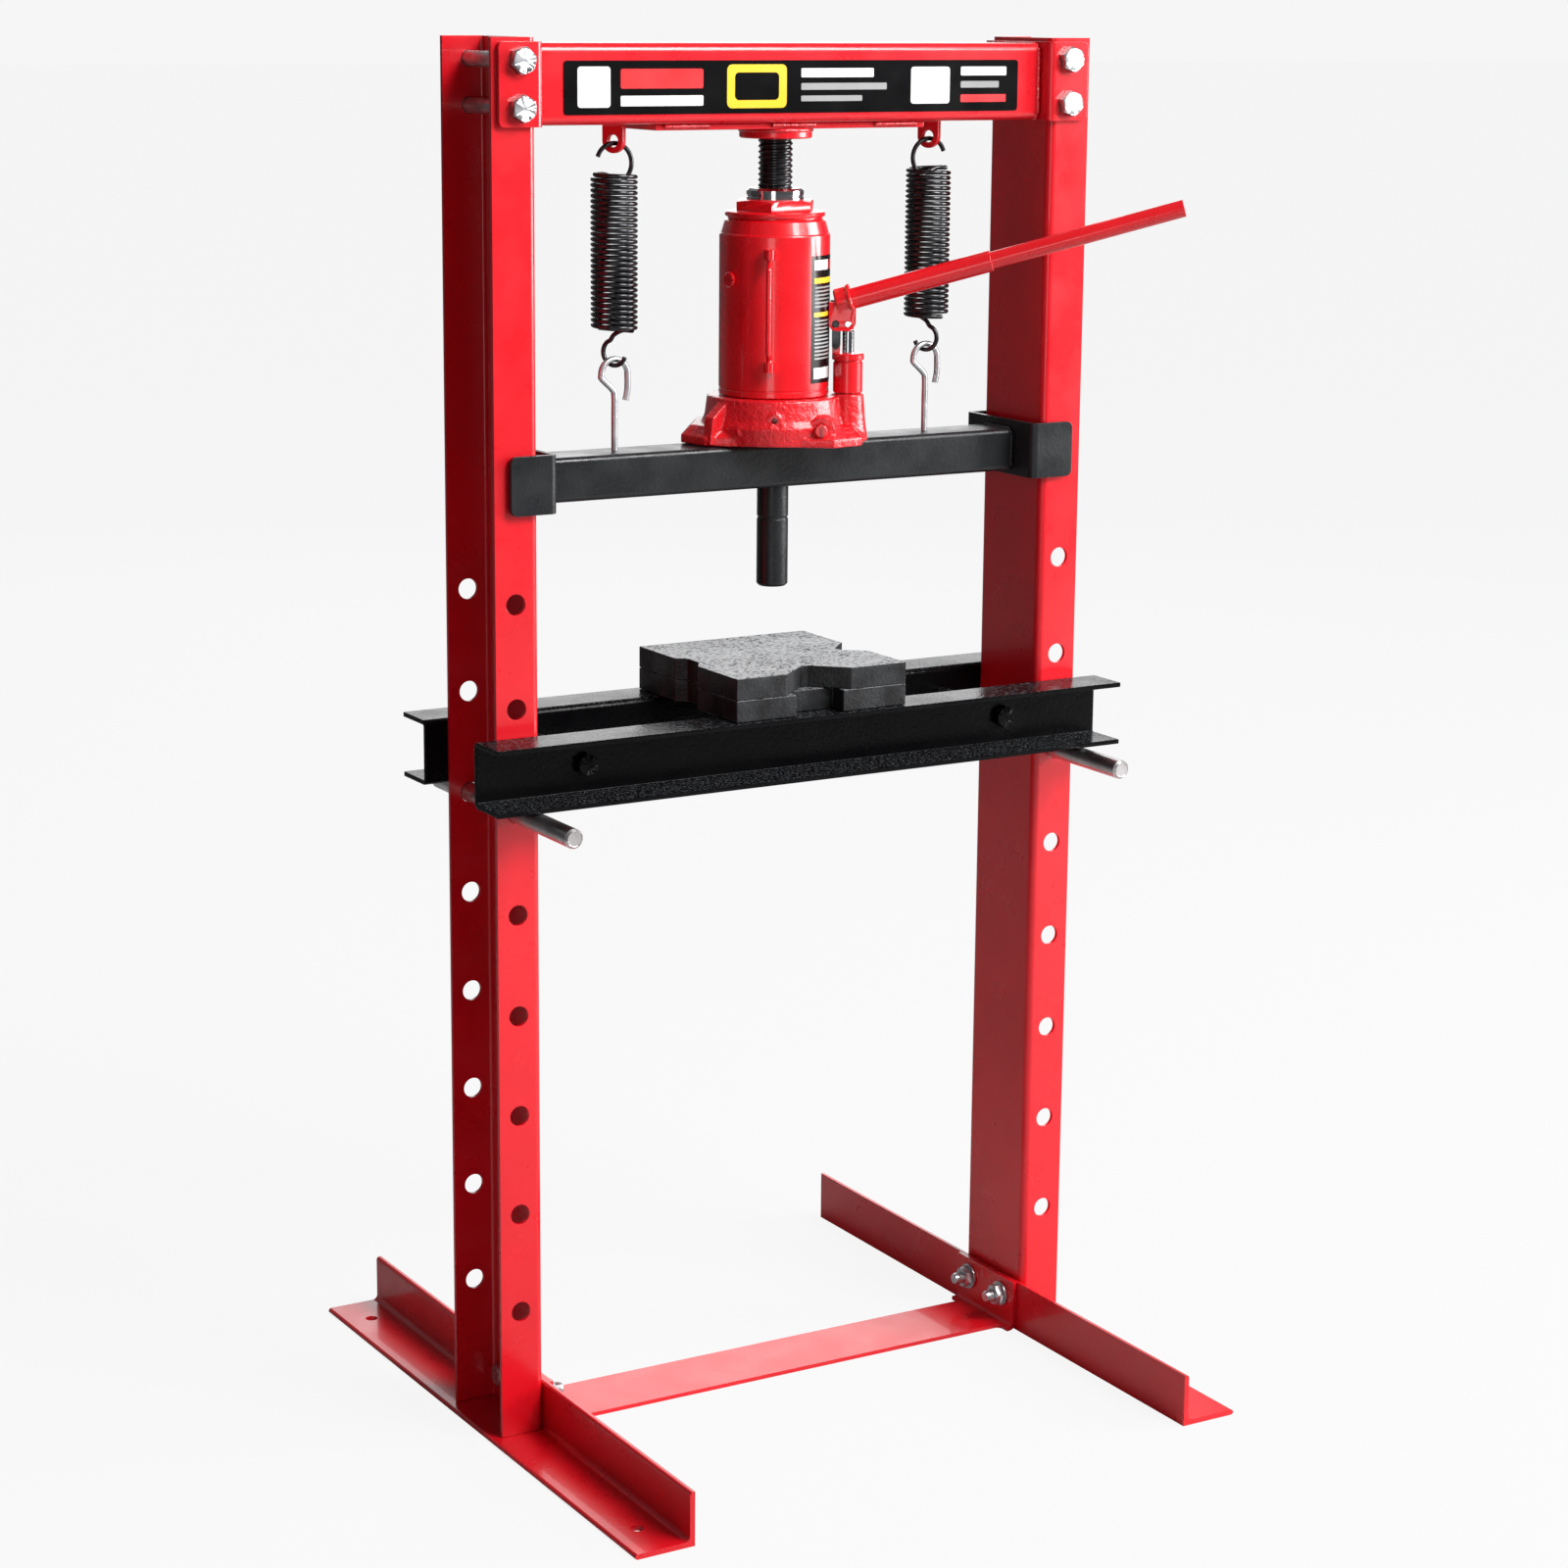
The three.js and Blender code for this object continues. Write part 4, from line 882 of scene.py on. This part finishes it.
def modelJackBase():
    foundation = drawn([(x, y, 0.4) for x, y in octagon(0.2)], (0, 0, jackBase["edge"] - 0.4))
    pick(foundation, "FACE", lambda _, normal: normal.z > 0.9)
    bpy.ops.mesh.extrude_region_move(TRANSFORM_OT_translate={"value": (0, 0, jackBase["flare"])})
    width, depth = jackBase["right"] - jackBase["left"], 2 * jackBase["halfDepth"]
    bpy.ops.transform.resize(value=(1 - 2 * jackBase["flare"] / width, 1 - 2 * jackBase["flare"] / depth, 1))
    closeEdit()
    low, high = jackBase["collar"]
    ring = turned([(0, 1), (low, 1), (low + 2.5, 17), (low - 0.6, 24), (high, jackBase["height"] - 1.5),
                   (high - 1.5, jackBase["height"] - 0.3), (0, jackBase["height"] - 0.3)], 72)
    boss = turned([(0, 2), (pump["boss"] + 4, 2), (pump["boss"] + 1.5, 20), (pump["boss"] - 0.3, 43.4),
                   (pump["boss"] - 1.6, 44.8), (0, 44.8)], 40)
    moved(boss, Matrix.Translation((pump["x"], 0, 0)))
    bridge = addBlock((40, -11, 2), (pump["x"], 11, 41))
    parts = [ring, boss, bridge]
    for angle in jackBase["ribAngles"]:
        half = jackBase["rib"] / 2
        wedge = drawn([(40, -half, 2), (jackBase["ribReach"] + 3, -half, 2),
                       (jackBase["ribReach"], -half, jackBase["ribHeight"]), (60, -half, 40), (40, -half, 40)],
                      (0, 2 * half, 0))
        parts.append(moved(wedge, Matrix.Rotation(math.radians(angle), 4, "Z")))
    x, z, face = valve["x"], valve["z"], valve["face"]
    arch = drawn([(x - valve["boss"], -20, 2), (x + valve["boss"], -20, 2),
                  *((px, -20, pz) for px, pz in arc((x, z), valve["boss"], 0, 180, 18))], (0, 20 - face, 0))
    parts.append(arch)
    parts.append(addRod(7.5, (6, -40, 25), (6, -63.4, 25), 32, 6.5))
    parts.append(addRod(6, (-24, -40, 15), (-24, -61.5, 15), 32, 5))
    whole = joined(foundation, *parts)
    modify(whole, "REMESH", mode="VOXEL", voxel_size=1.15, adaptivity=0)
    modify(whole, "SMOOTH", factor=0.5, iterations=3)
    texture = bpy.data.textures.new("castSkin", "CLOUDS")
    texture.noise_scale = 7
    modify(whole, "DISPLACE", texture=texture, strength=0.35, mid_level=0.7)
    cutOut(whole, addRod(valve["stem"] + 0.3, (x, -face - 4, z), (x, -face + 12, z), 32),
           addRod(3, (6, -55, 25), (6, -70, 25), 6))
    activate(whole)
    bpy.ops.object.shade_smooth_by_angle(angle=math.radians(50))
    toJack(whole, "jack_base", "castPaint", "jackBase")


def modelTank():
    radius, low, shoulder, high, neck = (tank[key] for key in ("radius", "low", "shoulder", "high", "neck"))
    body = turned([(26.4, low), (radius - 0.8, low), (radius, low + 0.8), (radius, low + 5),
                   (radius - 0.5, low + 5.6), (radius - 0.5, low + 6.4), (radius, low + 7), (radius, shoulder),
                   *((radius - 3 + x, shoulder + z) for x, z in arc((0, 0), 3, 0, 55, 5)),
                   (neck + 2.2, high - 8.5), (neck + 0.6, high - 7.6), (neck - 0.6, high - 6.4),
                   (neck - 0.6, high - 5.4), (neck + 1.4, high - 4.6), (neck + 1.8, high - 3.6),
                   (neck + 1.8, high - 1.6), (neck + 1, high - 0.6), (neck - 1, high), (26.4, high), (26.4, low)],
                  128)
    smoothed(body, 28)
    angle = math.radians(filler["angle"])
    outward = Vector((math.cos(angle), math.sin(angle), 0))
    start = outward * (radius - 12) + Vector((0, 0, filler["z"]))
    cutOut(body, addRod(filler["radius"] + 0.3, start, start + outward * 20, 32))
    y = -radius - carry["lug"]
    lugs = []
    for z in (carry["low"], carry["high"]):
        lug = drawn([(-5, -radius + 2, z - 4.5), (5, -radius + 2, z - 4.5), (5, y, z - 4.5),
                     *((px, py, z - 4.5) for px, py in arc((0, y + 0.8), 4.3, 0, -180, 14)), (-5, y, z - 4.5)],
                    (0, 0, 9))
        cutOut(lug, addRod(carry["wire"] + 0.5, (0, y, z - 9), (0, y, z + 9), 24))
        lugs.append(soften(lug, 0.9, 3))
    toJack(joined(body, *lugs), "jack_tank", "jackPaint", "jackTank")
    nutLow, nutHigh = extent("tank_nut")
    height = nutHigh.z - nutLow.z
    nut = hexPrism(38.6, height, 0.05)
    cutOut(nut, addRod(26.4, (0, 0, -5), (0, 0, 20), 64))
    moved(nut, Matrix.Translation((0, 0, high + 0.3)))
    toJack(nut, "tank_nut", "jackPaint", "tankNut")


def modelLabel():
    # a thin film round the tank, with blocks of print proud of it
    film = {"radius": tank["radius"] + 0.12, "low": 56, "high": 171, "start": -44, "end": 20}

    def patch(start, end, low, high, thick, finish, name):
        steps = max(2, round((end - start) / 2))
        radius = film["radius"]
        outline = [*arc((0, 0), radius + thick, start, end, steps), *arc((0, 0), radius - 0.3, end, start, steps)]
        piece = smoothed(drawn([(x, y, low) for x, y in outline], (0, 0, high - low)), 30)
        install(moved(piece, jackPlace), "jack_tank", surface[finish], name)

    patch(film["start"], film["end"], film["low"], film["high"], 0.08, "signFilm", "label")
    blocks = [
        ("whitePrint", -40, -14, 158, 167), ("redPrint", -10, 3, 158, 167), ("whitePrint", 5, 16, 158, 167),
        ("yellowPrint", -40, 16, 146, 151), ("yellowPrint", -40, 16, 116, 120), ("whitePrint", -40, 16, 60, 70),
    ]
    for index, (finish, start, end, low, high) in enumerate(blocks):
        patch(start, end, low, high, 0.16, finish, f"labelBlock{index}")
    line = 0
    for top, bottom in ((143, 123), (113, 74)):
        z = top
        while z - 2 > bottom:
            patch(-39, dice.uniform(-2, 15), z - 1.5, z, 0.13, "greyPrint", f"labelLine{line}")
            z -= 3.4
            line += 1


def modelFiller():
    x = tank["radius"] + 0.6
    plug = turned([(0, -7.5), (filler["radius"], -7.5), (filler["radius"], 0), (filler["head"] - 0.6, 0),
                   (filler["head"], 0.6), (filler["head"], filler["thick"] - 1),
                   (filler["head"] - 1, filler["thick"]), (0, filler["thick"])], 40)
    cutOut(plug, addBlock((-0.8, -9, filler["thick"] - 1.2), (0.8, 9, filler["thick"] + 2)))
    soften(plug, 0.2)
    moved(plug, Matrix.Rotation(math.pi / 2, 4, "Y"), Matrix.Translation((x, 0, filler["z"])),
          Matrix.Rotation(math.radians(filler["angle"]), 4, "Z"))
    toJack(plug, "filler_plug", "jackPaint", "fillerPlug")


def modelCarryHandle():
    y = -tank["radius"] - carry["lug"]
    end = [(y, -3), (y, 1), (y, 5), (y, 8), (y - 0.7 * carry["reach"], 13), (y - carry["reach"], 19)]
    points = [(0, py, carry["low"] + rise) for py, rise in end]
    points += [(0, py, carry["high"] - rise) for py, rise in reversed(end)]
    toJack(bentWire(rounded(points, 6), carry["wire"], 14), "carry_handle", "jackPaint", "carryHandle")


def modelValve():
    inner, outer = valve["face"] - 12, valve["face"] + valve["out"]
    radius = valve["stem"]
    stem = turned([(0, 0), (radius - 0.3, 0), (radius - 0.3, 11), (radius - 1, 11.6), (radius - 1, 12.6),
                   (radius, 13.4), (radius, outer - inner - 1), (radius - 1, outer - inner), (0, outer - inner)], 48)
    slit = addBlock((-1.5, -8, outer - inner - 5), (1.5, 8, outer - inner + 2))
    soften(cutOut(stem, slit), 0.25)
    moved(stem, Matrix.Rotation(math.pi / 2, 4, "X"), Matrix.Translation((valve["x"], -inner, valve["z"])))
    toJack(stem, "release_valve", "jackPaint", "releaseValve")


modelJackBase()
modelTank()
modelLabel()
modelFiller()
modelCarryHandle()
modelValve()
print("jack done")


# ---- ram, extension screw and saddle ------------------------------------------------------------
screw = {"radius": 15.6, "root": 14.1, "pitch": 5, "turns": 10}


def modelRam():
    low, high = extent("ram")
    radius, bore = (high.x - low.x) / 2, screw["radius"] + 0.8
    shape = turned([(0, low.z), (radius - 1, low.z), (radius, low.z + 1), (radius, high.z - 8),
                    (radius - 0.6, high.z - 7.4), (radius - 0.6, high.z - 6.4), (radius, high.z - 5.8),
                    (radius, high.z - 2), (radius - 2, high.z), (bore + 1.2, high.z), (bore, high.z - 1.2),
                    (bore, high.z - 93), (0, high.z - 95)], 96)
    replaceNodes(smoothed(shape, 30), "ram", surface["chrome"], "ram")


def modelScrew():
    low, high = extent("extension_screw")
    pitch, root, crest = screw["pitch"], screw["root"], screw["radius"]
    thread = edgePath([(root, 0, 0), (crest, 0, 0.32 * pitch), (crest, 0, 0.52 * pitch), (root, 0, 0.86 * pitch),
                       (root, 0, pitch)])
    closeEdit()
    modify(thread, "SCREW", angle=2 * math.pi, screw_offset=pitch, iterations=screw["turns"], steps=48,
           render_steps=48, axis="Z", use_merge_vertices=True, merge_threshold=0.01)
    moved(thread, Matrix.Translation((0, 0, high.z - (screw["turns"] + 0.5) * pitch)))
    cutLow = high.z - (screw["turns"] - 0.6) * pitch
    for height, upwards in ((high.z - 0.4, True), (cutLow, False)):
        edit(thread)
        bpy.ops.mesh.bisect(plane_co=(0, 0, height), plane_no=(0, 0, 1), use_fill=True,
                            clear_outer=upwards, clear_inner=not upwards)
        closeEdit()
    edit(thread)
    bpy.ops.mesh.normals_make_consistent(inside=False)
    closeEdit()
    smoothed(thread, 40)
    shank = turned([(0, low.z), (root - 1, low.z), (root - 0.2, low.z + 1), (root - 0.2, cutLow + 0.2),
                    (0, cutLow + 0.2)], 48)
    neck = turned([(0, high.z - 1), (root - 1.5, high.z - 1), (root - 1.5, high.z), (0, high.z)], 48)
    replaceNodes(joined(thread, smoothed(shank), smoothed(neck)), "extension_screw", surface["oiledSteel"],
                 "extensionScrew")
    low, high = extent("screw_saddle")
    radius = (high.x - low.x) / 2
    saddle = turned([(0, low.z), (radius - 3, low.z), (radius, low.z + 2), (radius, high.z - 0.8),
                     (radius - 0.8, high.z), (radius - 4, high.z), (radius - 5, high.z - 1),
                     (4, high.z - 1), (0, high.z - 1)], 72)
    replaceNodes(smoothed(saddle, 28), "screw_saddle", surface["oiledSteel"], "screwSaddle")


modelRam()
modelScrew()
print("ram and screw done")


# ---- pump and handle ----------------------------------------------------------------------------
link = {"x": 57, "low": 88.3, "top": 108.3, "pin": 2.7, "half": 3.6, "plate": 3, "inner": 3.3}
socket = {"inner": 6.6, "cheek": 4.5, "mouth": (70, 0, 130.3), "rise": 16, "sleeve": 13, "back": 14, "lip": 14.6,
          "bore": 10, "round": 6.2}
lowerTube = {"radius": 9.7, "wall": 1.3, "from": -11, "to": 132}
upperTube = {"radius": 7.9, "wall": 1.3, "from": 92, "to": 311}
alongHandle = Matrix.Translation(socket["mouth"]) @ Matrix.Rotation(math.radians(90 - socket["rise"]), 4, "Y")


def modelPump():
    x, radius, cap = pump["x"], pump["radius"], pump["cap"]
    high = pump["high"]
    barrel = turned([(5.6, 49.4), (0, 49.4), (0, pump["low"]), (radius - 1, pump["low"]), (radius, pump["low"] + 1),
                     (radius, high - 9), (radius - 0.8, high - 8), (radius - 0.8, high - 6.6)], 64)
    bpy.data.objects.remove(barrel)
    barrel = turned([(5.6, 50), (5.6, high), (cap - 1.4, high), (cap, high - 1.2), (cap, high - 5.4),
                     (cap - 0.6, high - 6), (radius - 0.8, high - 6.2), (radius - 0.8, high - 7.6),
                     (radius, high - 8.4), (radius, pump["low"] + 1), (radius - 1, pump["low"]),
                     (0, pump["low"]), (0, 50), (5.6, 50)], 64)
    smoothed(barrel, 30)
    moved(barrel, Matrix.Translation((x, 0, 0)))
    outline = [(link["x"] - 3.5, high - 1), (link["x"] + 3.5, high - 1),
               *arc((link["x"], link["low"]), 3.5, 0, 180, 14)]
    lug = drawn([(px, -3, pz) for px, pz in outline], (0, 6, 0))
    cutOut(lug, addRod(link["pin"] + 0.3, (link["x"], -9, link["low"]), (link["x"], 9, link["low"]), 24))
    toJack(joined(barrel, soften(lug, 0.5)), "pump_cylinder", "jackPaint", "pumpCylinder")


def modelLink():
    plates = []
    for y in (-link["inner"] - link["plate"], link["inner"]):
        outline = [*arc((link["x"], link["low"]), link["half"], 180, 360, 12),
                   *arc((link["x"], link["top"]), link["half"], 0, 180, 12)]
        plates.append(drawn([(px, y, pz) for px, pz in outline], (0, link["plate"], 0)))
    reach = link["inner"] + link["plate"]
    pins = [addRod(link["pin"], (link["x"], -reach, link["low"]), (link["x"], reach, link["low"]), 24),
            addRod(link["pin"], (link["x"], -11.5, link["top"]), (link["x"], 11.5, link["top"]), 24)]
    toJack(joined(*(soften(part, 0.4) for part in (*plates, *pins))), "pump_link", "oiledSteel", "pumpLink")


def modelPlunger():
    rod = turned([(0, 62.3), (4.6, 62.3), (5.3, 63), (5.3, 101), (4.6, 102), (4.6, 110.6), (4, 112.3), (0, 112.3)],
                 48)
    moved(smoothed(rod, 30), Matrix.Translation((pump["x"], 0, 0)))
    pin = soften(addRod(link["pin"], (pump["x"], -11.5, link["top"]), (pump["x"], 11.5, link["top"]), 32), 0.5)
    toJack(joined(rod, pin), "pump_plunger", "chrome", "pumpPlunger")


def modelSocket():
    r, x1, x2, z = socket["round"], link["x"], pump["x"], link["top"]
    mouthX, mouthZ = socket["mouth"][0], socket["mouth"][2]
    outline = [(x1 - r, mouthZ - 2), (x1 - r, z), *arc((x1, z), r, 180, 270, 8), *arc((x2, z), r, 270, 360, 8),
               (x2 + r, mouthZ - 6), (mouthX, mouthZ - 2)]
    cheeks = [drawn([(px, y, pz) for px, pz in outline], (0, socket["cheek"], 0))
              for y in (-socket["inner"] - socket["cheek"], socket["inner"])]
    sleeve = turned([(0, -socket["back"]), (socket["sleeve"] - 1.5, -socket["back"]),
                     (socket["sleeve"], 1.5 - socket["back"]), (socket["sleeve"], -3),
                     (socket["lip"] - 0.8, -2), (socket["lip"], -1.2), (socket["lip"], 0.4),
                     (socket["lip"] - 0.6, 1), (0, 1)], 64)
    moved(sleeve, alongHandle)
    for cheek in cheeks:
        modify(sleeve, "BOOLEAN", operation="UNION", solver="EXACT", object=cheek)
        bpy.data.objects.remove(cheek)
    bore = moved(addRod(socket["bore"], (0, 0, -40), (0, 0, 20), 64), alongHandle)
    cutOut(sleeve, bore)
    cutOut(sleeve, addRod(link["pin"] + 0.3, (x2, -30, z), (x2, 30, z), 32),
           addRod(link["pin"] + 0.7, (x1, -30, z), (x1, 30, z), 32))
    soften(sleeve, 0.7, 3, 30)
    toJack(sleeve, "handle_socket", "jackPaint", "handleSocket")


def modelTube(size, node, name):
    radius, inner, low, high = size["radius"], size["radius"] - size["wall"], size["from"], size["to"]
    tube = turned([(inner, low), (radius - 0.4, low), (radius, low + 0.4), (radius, high - 0.5), (radius - 0.4, high),
                   (inner + 0.2, high), (inner, high - 0.3), (inner, low)], 56)
    toJack(moved(smoothed(tube, 30), alongHandle), node, "jackPaint", name)


modelPump()
modelLink()
modelPlunger()
modelSocket()
modelTube(lowerTube, "handle_lower_tube", "handleLower")
modelTube(upperTube, "handle_upper_tube", "handleUpper")
print("pump and handle done")


# ---- bed ----------------------------------------------------------------------------------------
bed = {"web": 4.5, "bend": 6}
spacer = {"x": 224, "z": 630.7, "tube": 10, "bolt": 6, "hex": 10.9, "head": 7}


def modelBed():
    for end, sign in ends:
        low, high = extent(f"bed_channel_{end}")
        web, tip = (high.y, low.y) if sign < 0 else (low.y, high.y)
        corners = [(low.x, tip, high.z), (low.x, web, high.z), (low.x, web, low.z), (low.x, tip, low.z)]
        piece = foldedSheet(corners, (high.x - low.x, 0, 0), bed["web"], bed["bend"])
        cutOut(piece, *(addRod(spacer["bolt"] + 0.3, (x, web - 20, spacer["z"]), (x, web + 20, spacer["z"]), 32)
                        for x in (-spacer["x"], spacer["x"])))
        replaceNodes(soften(piece, 0.7), f"bed_channel_{end}", surface["bedPaint"], f"bedChannel{end.title()}")
    low, high = extent("bed_spacer_left")
    inner = 50
    face = high.y - spacer["head"]
    tube = turned([(spacer["bolt"], -inner), (spacer["tube"] - 0.6, -inner), (spacer["tube"], 0.6 - inner),
                   (spacer["tube"], inner - 0.6), (spacer["tube"] - 0.6, inner), (spacer["bolt"], inner)], 48)
    bolt = addRod(spacer["bolt"], (0, 0, -face - 1), (0, 0, face + 1), 32)
    heads = [moved(hexPrism(spacer["hex"], spacer["head"]), Matrix.Translation((0, 0, face)),
                   Matrix.Rotation(turn, 4, "X")) for turn in (0, math.pi)]
    shape = joined(smoothed(tube), smoothed(bolt), *heads)
    moved(shape, Matrix.Rotation(math.pi / 2, 4, "X"))
    for side, sign in sides:
        piece = copied(shape, Matrix.Translation((sign * spacer["x"], 0, spacer["z"])))
        replaceNodes(piece, f"bed_spacer_{side}", surface["bedPaint"], f"bedSpacer{side.title()}")
    bpy.data.objects.remove(shape)


def modelPins():
    low, high = extent("bed_pin_left")
    radius, length = (high.x - low.x) / 2, high.y - low.y
    shape = turned([(0, 0.3), (radius - 2.6, 0.3), (radius - 2.2, 0), (radius - 2.2, 0.1), (radius, 2.4),
                    (radius, length - 2.4), (radius - 2.4, length), (0, length)], 56)
    smoothed(shape, 28)
    moved(shape, Matrix.Rotation(-math.pi / 2, 4, "X"))
    for side, _ in sides:
        sideLow, sideHigh = extent(f"bed_pin_{side}")
        place = ((sideLow.x + sideHigh.x) / 2, sideLow.y, (sideLow.z + sideHigh.z) / 2)
        piece = copied(shape, Matrix.Translation(place))
        replaceNodes(piece, f"bed_pin_{side}", surface["pinSteel"], f"bedPin{side.title()}")
    bpy.data.objects.remove(shape)


plates = {
    "lower": ((-0.3, -1), (-0.3, -0.8), (0.25, -0.8), (0.25, -1)),
    "upper": ((-0.42, -1), (-0.06, -0.69), (0.01, -0.69), (0.34, -1)),
}


def modelPlates():
    for level, notch in plates.items():
        low, high = extent(f"arbor_plate_{level}")
        half = (high - low) / 2
        outline = [(-1, 1), (-1, 0.25), (-0.89, 0.17), (-0.89, -0.04), (-1, -0.22), (-1, -1), *notch,
                   (1, -1), (1, -0.31), (0.76, -0.1), (0.76, -0.02), (1, 0.22), (1, 1)]
        piece = drawn([(x * half.x, y * half.y, low.z) for x, y in outline], (0, 0, high.z - low.z))
        soften(piece, 0.9, 3)
        replaceNodes(piece, f"arbor_plate_{level}", surface["plateIron"], f"arborPlate{level.title()}")


modelBed()
modelPins()
modelPlates()
print("bed done")


# ---- floor, light and camera --------------------------------------------------------------------
floor = {"half": 60, "albedo": 0.4, "glow": 1, "glowShare": 0.9}
card = {"low": (-1.5, -0.9, 0.02), "high": (-1.5, 2.2, 2.2), "albedo": 0.015}
camera = {"place": (-1.6175, -2.7426, 1.2985), "yaw": 30.51, "pitch": -12.12, "roll": 0.475,
          "lens": 79.8, "shift": (0.009375, -0.025)}
lamps = (
    # place, target, size, watts
    ((4.0, -1.9, 1.7), (0, 0, 0.75), 2.2, 250),
    ((1.5, -3.0, 3.7), (0, 0, 0.7), 2.0, 260),
    ((2.2, 4.4, 2.3), (0, 0, 0.9), 2.6, 40),
    ((-2.4, -3.2, 0.9), (0, 0, 0.6), 1.0, 8),
)


def stageMaterial(name, albedo, glow=0, share=0):
    # a matt surface that also glows where the camera sees it, so that it reads as plain paper
    material = bpy.data.materials.new(name)
    material.use_nodes = True
    nodes, links = material.node_tree.nodes, material.node_tree.links
    shader = nodes["Principled BSDF"]
    shader.inputs["Base Color"].default_value = (albedo, albedo, albedo, 1)
    shader.inputs["Roughness"].default_value = 0.8
    light = nodes.new("ShaderNodeEmission")
    light.inputs["Color"].default_value = (glow, glow, glow, 1)
    ray, amount, mix = (nodes.new(f"ShaderNode{kind}") for kind in ("LightPath", "Math", "MixShader"))
    amount.operation = "MULTIPLY"
    amount.inputs[1].default_value = share
    links.new(ray.outputs["Is Camera Ray"], amount.inputs[0])
    links.new(amount.outputs["Value"], mix.inputs["Fac"])
    links.new(shader.outputs["BSDF"], mix.inputs[1])
    links.new(light.outputs["Emission"], mix.inputs[2])
    links.new(mix.outputs["Shader"], nodes["Material Output"].inputs["Surface"])
    return material


def addFloor():
    clearSelection()
    bpy.ops.mesh.primitive_plane_add(size=2 * floor["half"])
    ground = bpy.context.object
    ground.name = "floor"
    ground.data.materials.append(stageMaterial("floorPaper", floor["albedo"], floor["glow"], floor["glowShare"]))


def addCard():
    # a dark card on the left, out of the picture, that keeps that side in shade
    clearSelection()
    piece = addBlock(card["low"], (card["low"][0] + 0.02, *card["high"][1:]))
    piece.name = "shadeCard"
    piece.visible_camera = False
    piece.data.materials.append(stageMaterial("cardBlack", card["albedo"]))


def addLamps():
    for place, target, size, watts in lamps:
        clearSelection()
        bpy.ops.object.light_add(type="AREA", location=place)
        lamp = bpy.context.object
        lamp.data.size = size
        lamp.data.energy = watts
        lamp.visible_camera = False
        lamp.rotation_euler = (Vector(target) - Vector(place)).to_track_quat("-Z", "Y").to_euler()


def addCamera():
    clearSelection()
    bpy.ops.object.camera_add(location=camera["place"])
    view = bpy.context.object
    turn = (Matrix.Rotation(math.radians(-camera["yaw"]), 4, "Z") @ Matrix.Rotation(math.radians(90 + camera["pitch"]), 4, "X")
            @ Matrix.Rotation(math.radians(camera["roll"]), 4, "Z"))
    view.matrix_world = Matrix.Translation(camera["place"]) @ turn
    view.data.lens = camera["lens"]
    view.data.sensor_width = 36
    view.data.shift_x, view.data.shift_y = camera["shift"]
    bpy.context.scene.camera = view


def setWorld():
    world = bpy.data.worlds.new("studio")
    world.use_nodes = True
    nodes, links = world.node_tree.nodes, world.node_tree.links
    fill = nodes["Background"]
    fill.inputs["Color"].default_value = (0.95, 0.97, 1, 1)
    fill.inputs["Strength"].default_value = 0.2
    seen = nodes.new("ShaderNodeBackground")
    seen.inputs["Color"].default_value = (0.92, 0.92, 0.92, 1)
    ray, mix = nodes.new("ShaderNodeLightPath"), nodes.new("ShaderNodeMixShader")
    links.new(ray.outputs["Is Camera Ray"], mix.inputs["Fac"])
    links.new(fill.outputs["Background"], mix.inputs[1])
    links.new(seen.outputs["Background"], mix.inputs[2])
    links.new(mix.outputs["Shader"], nodes["World Output"].inputs["Surface"])
    bpy.context.scene.world = world
    bpy.context.scene.view_settings.view_transform = "Standard"


addFloor()
addCard()
addLamps()
addCamera()
setWorld()
print("stage done")
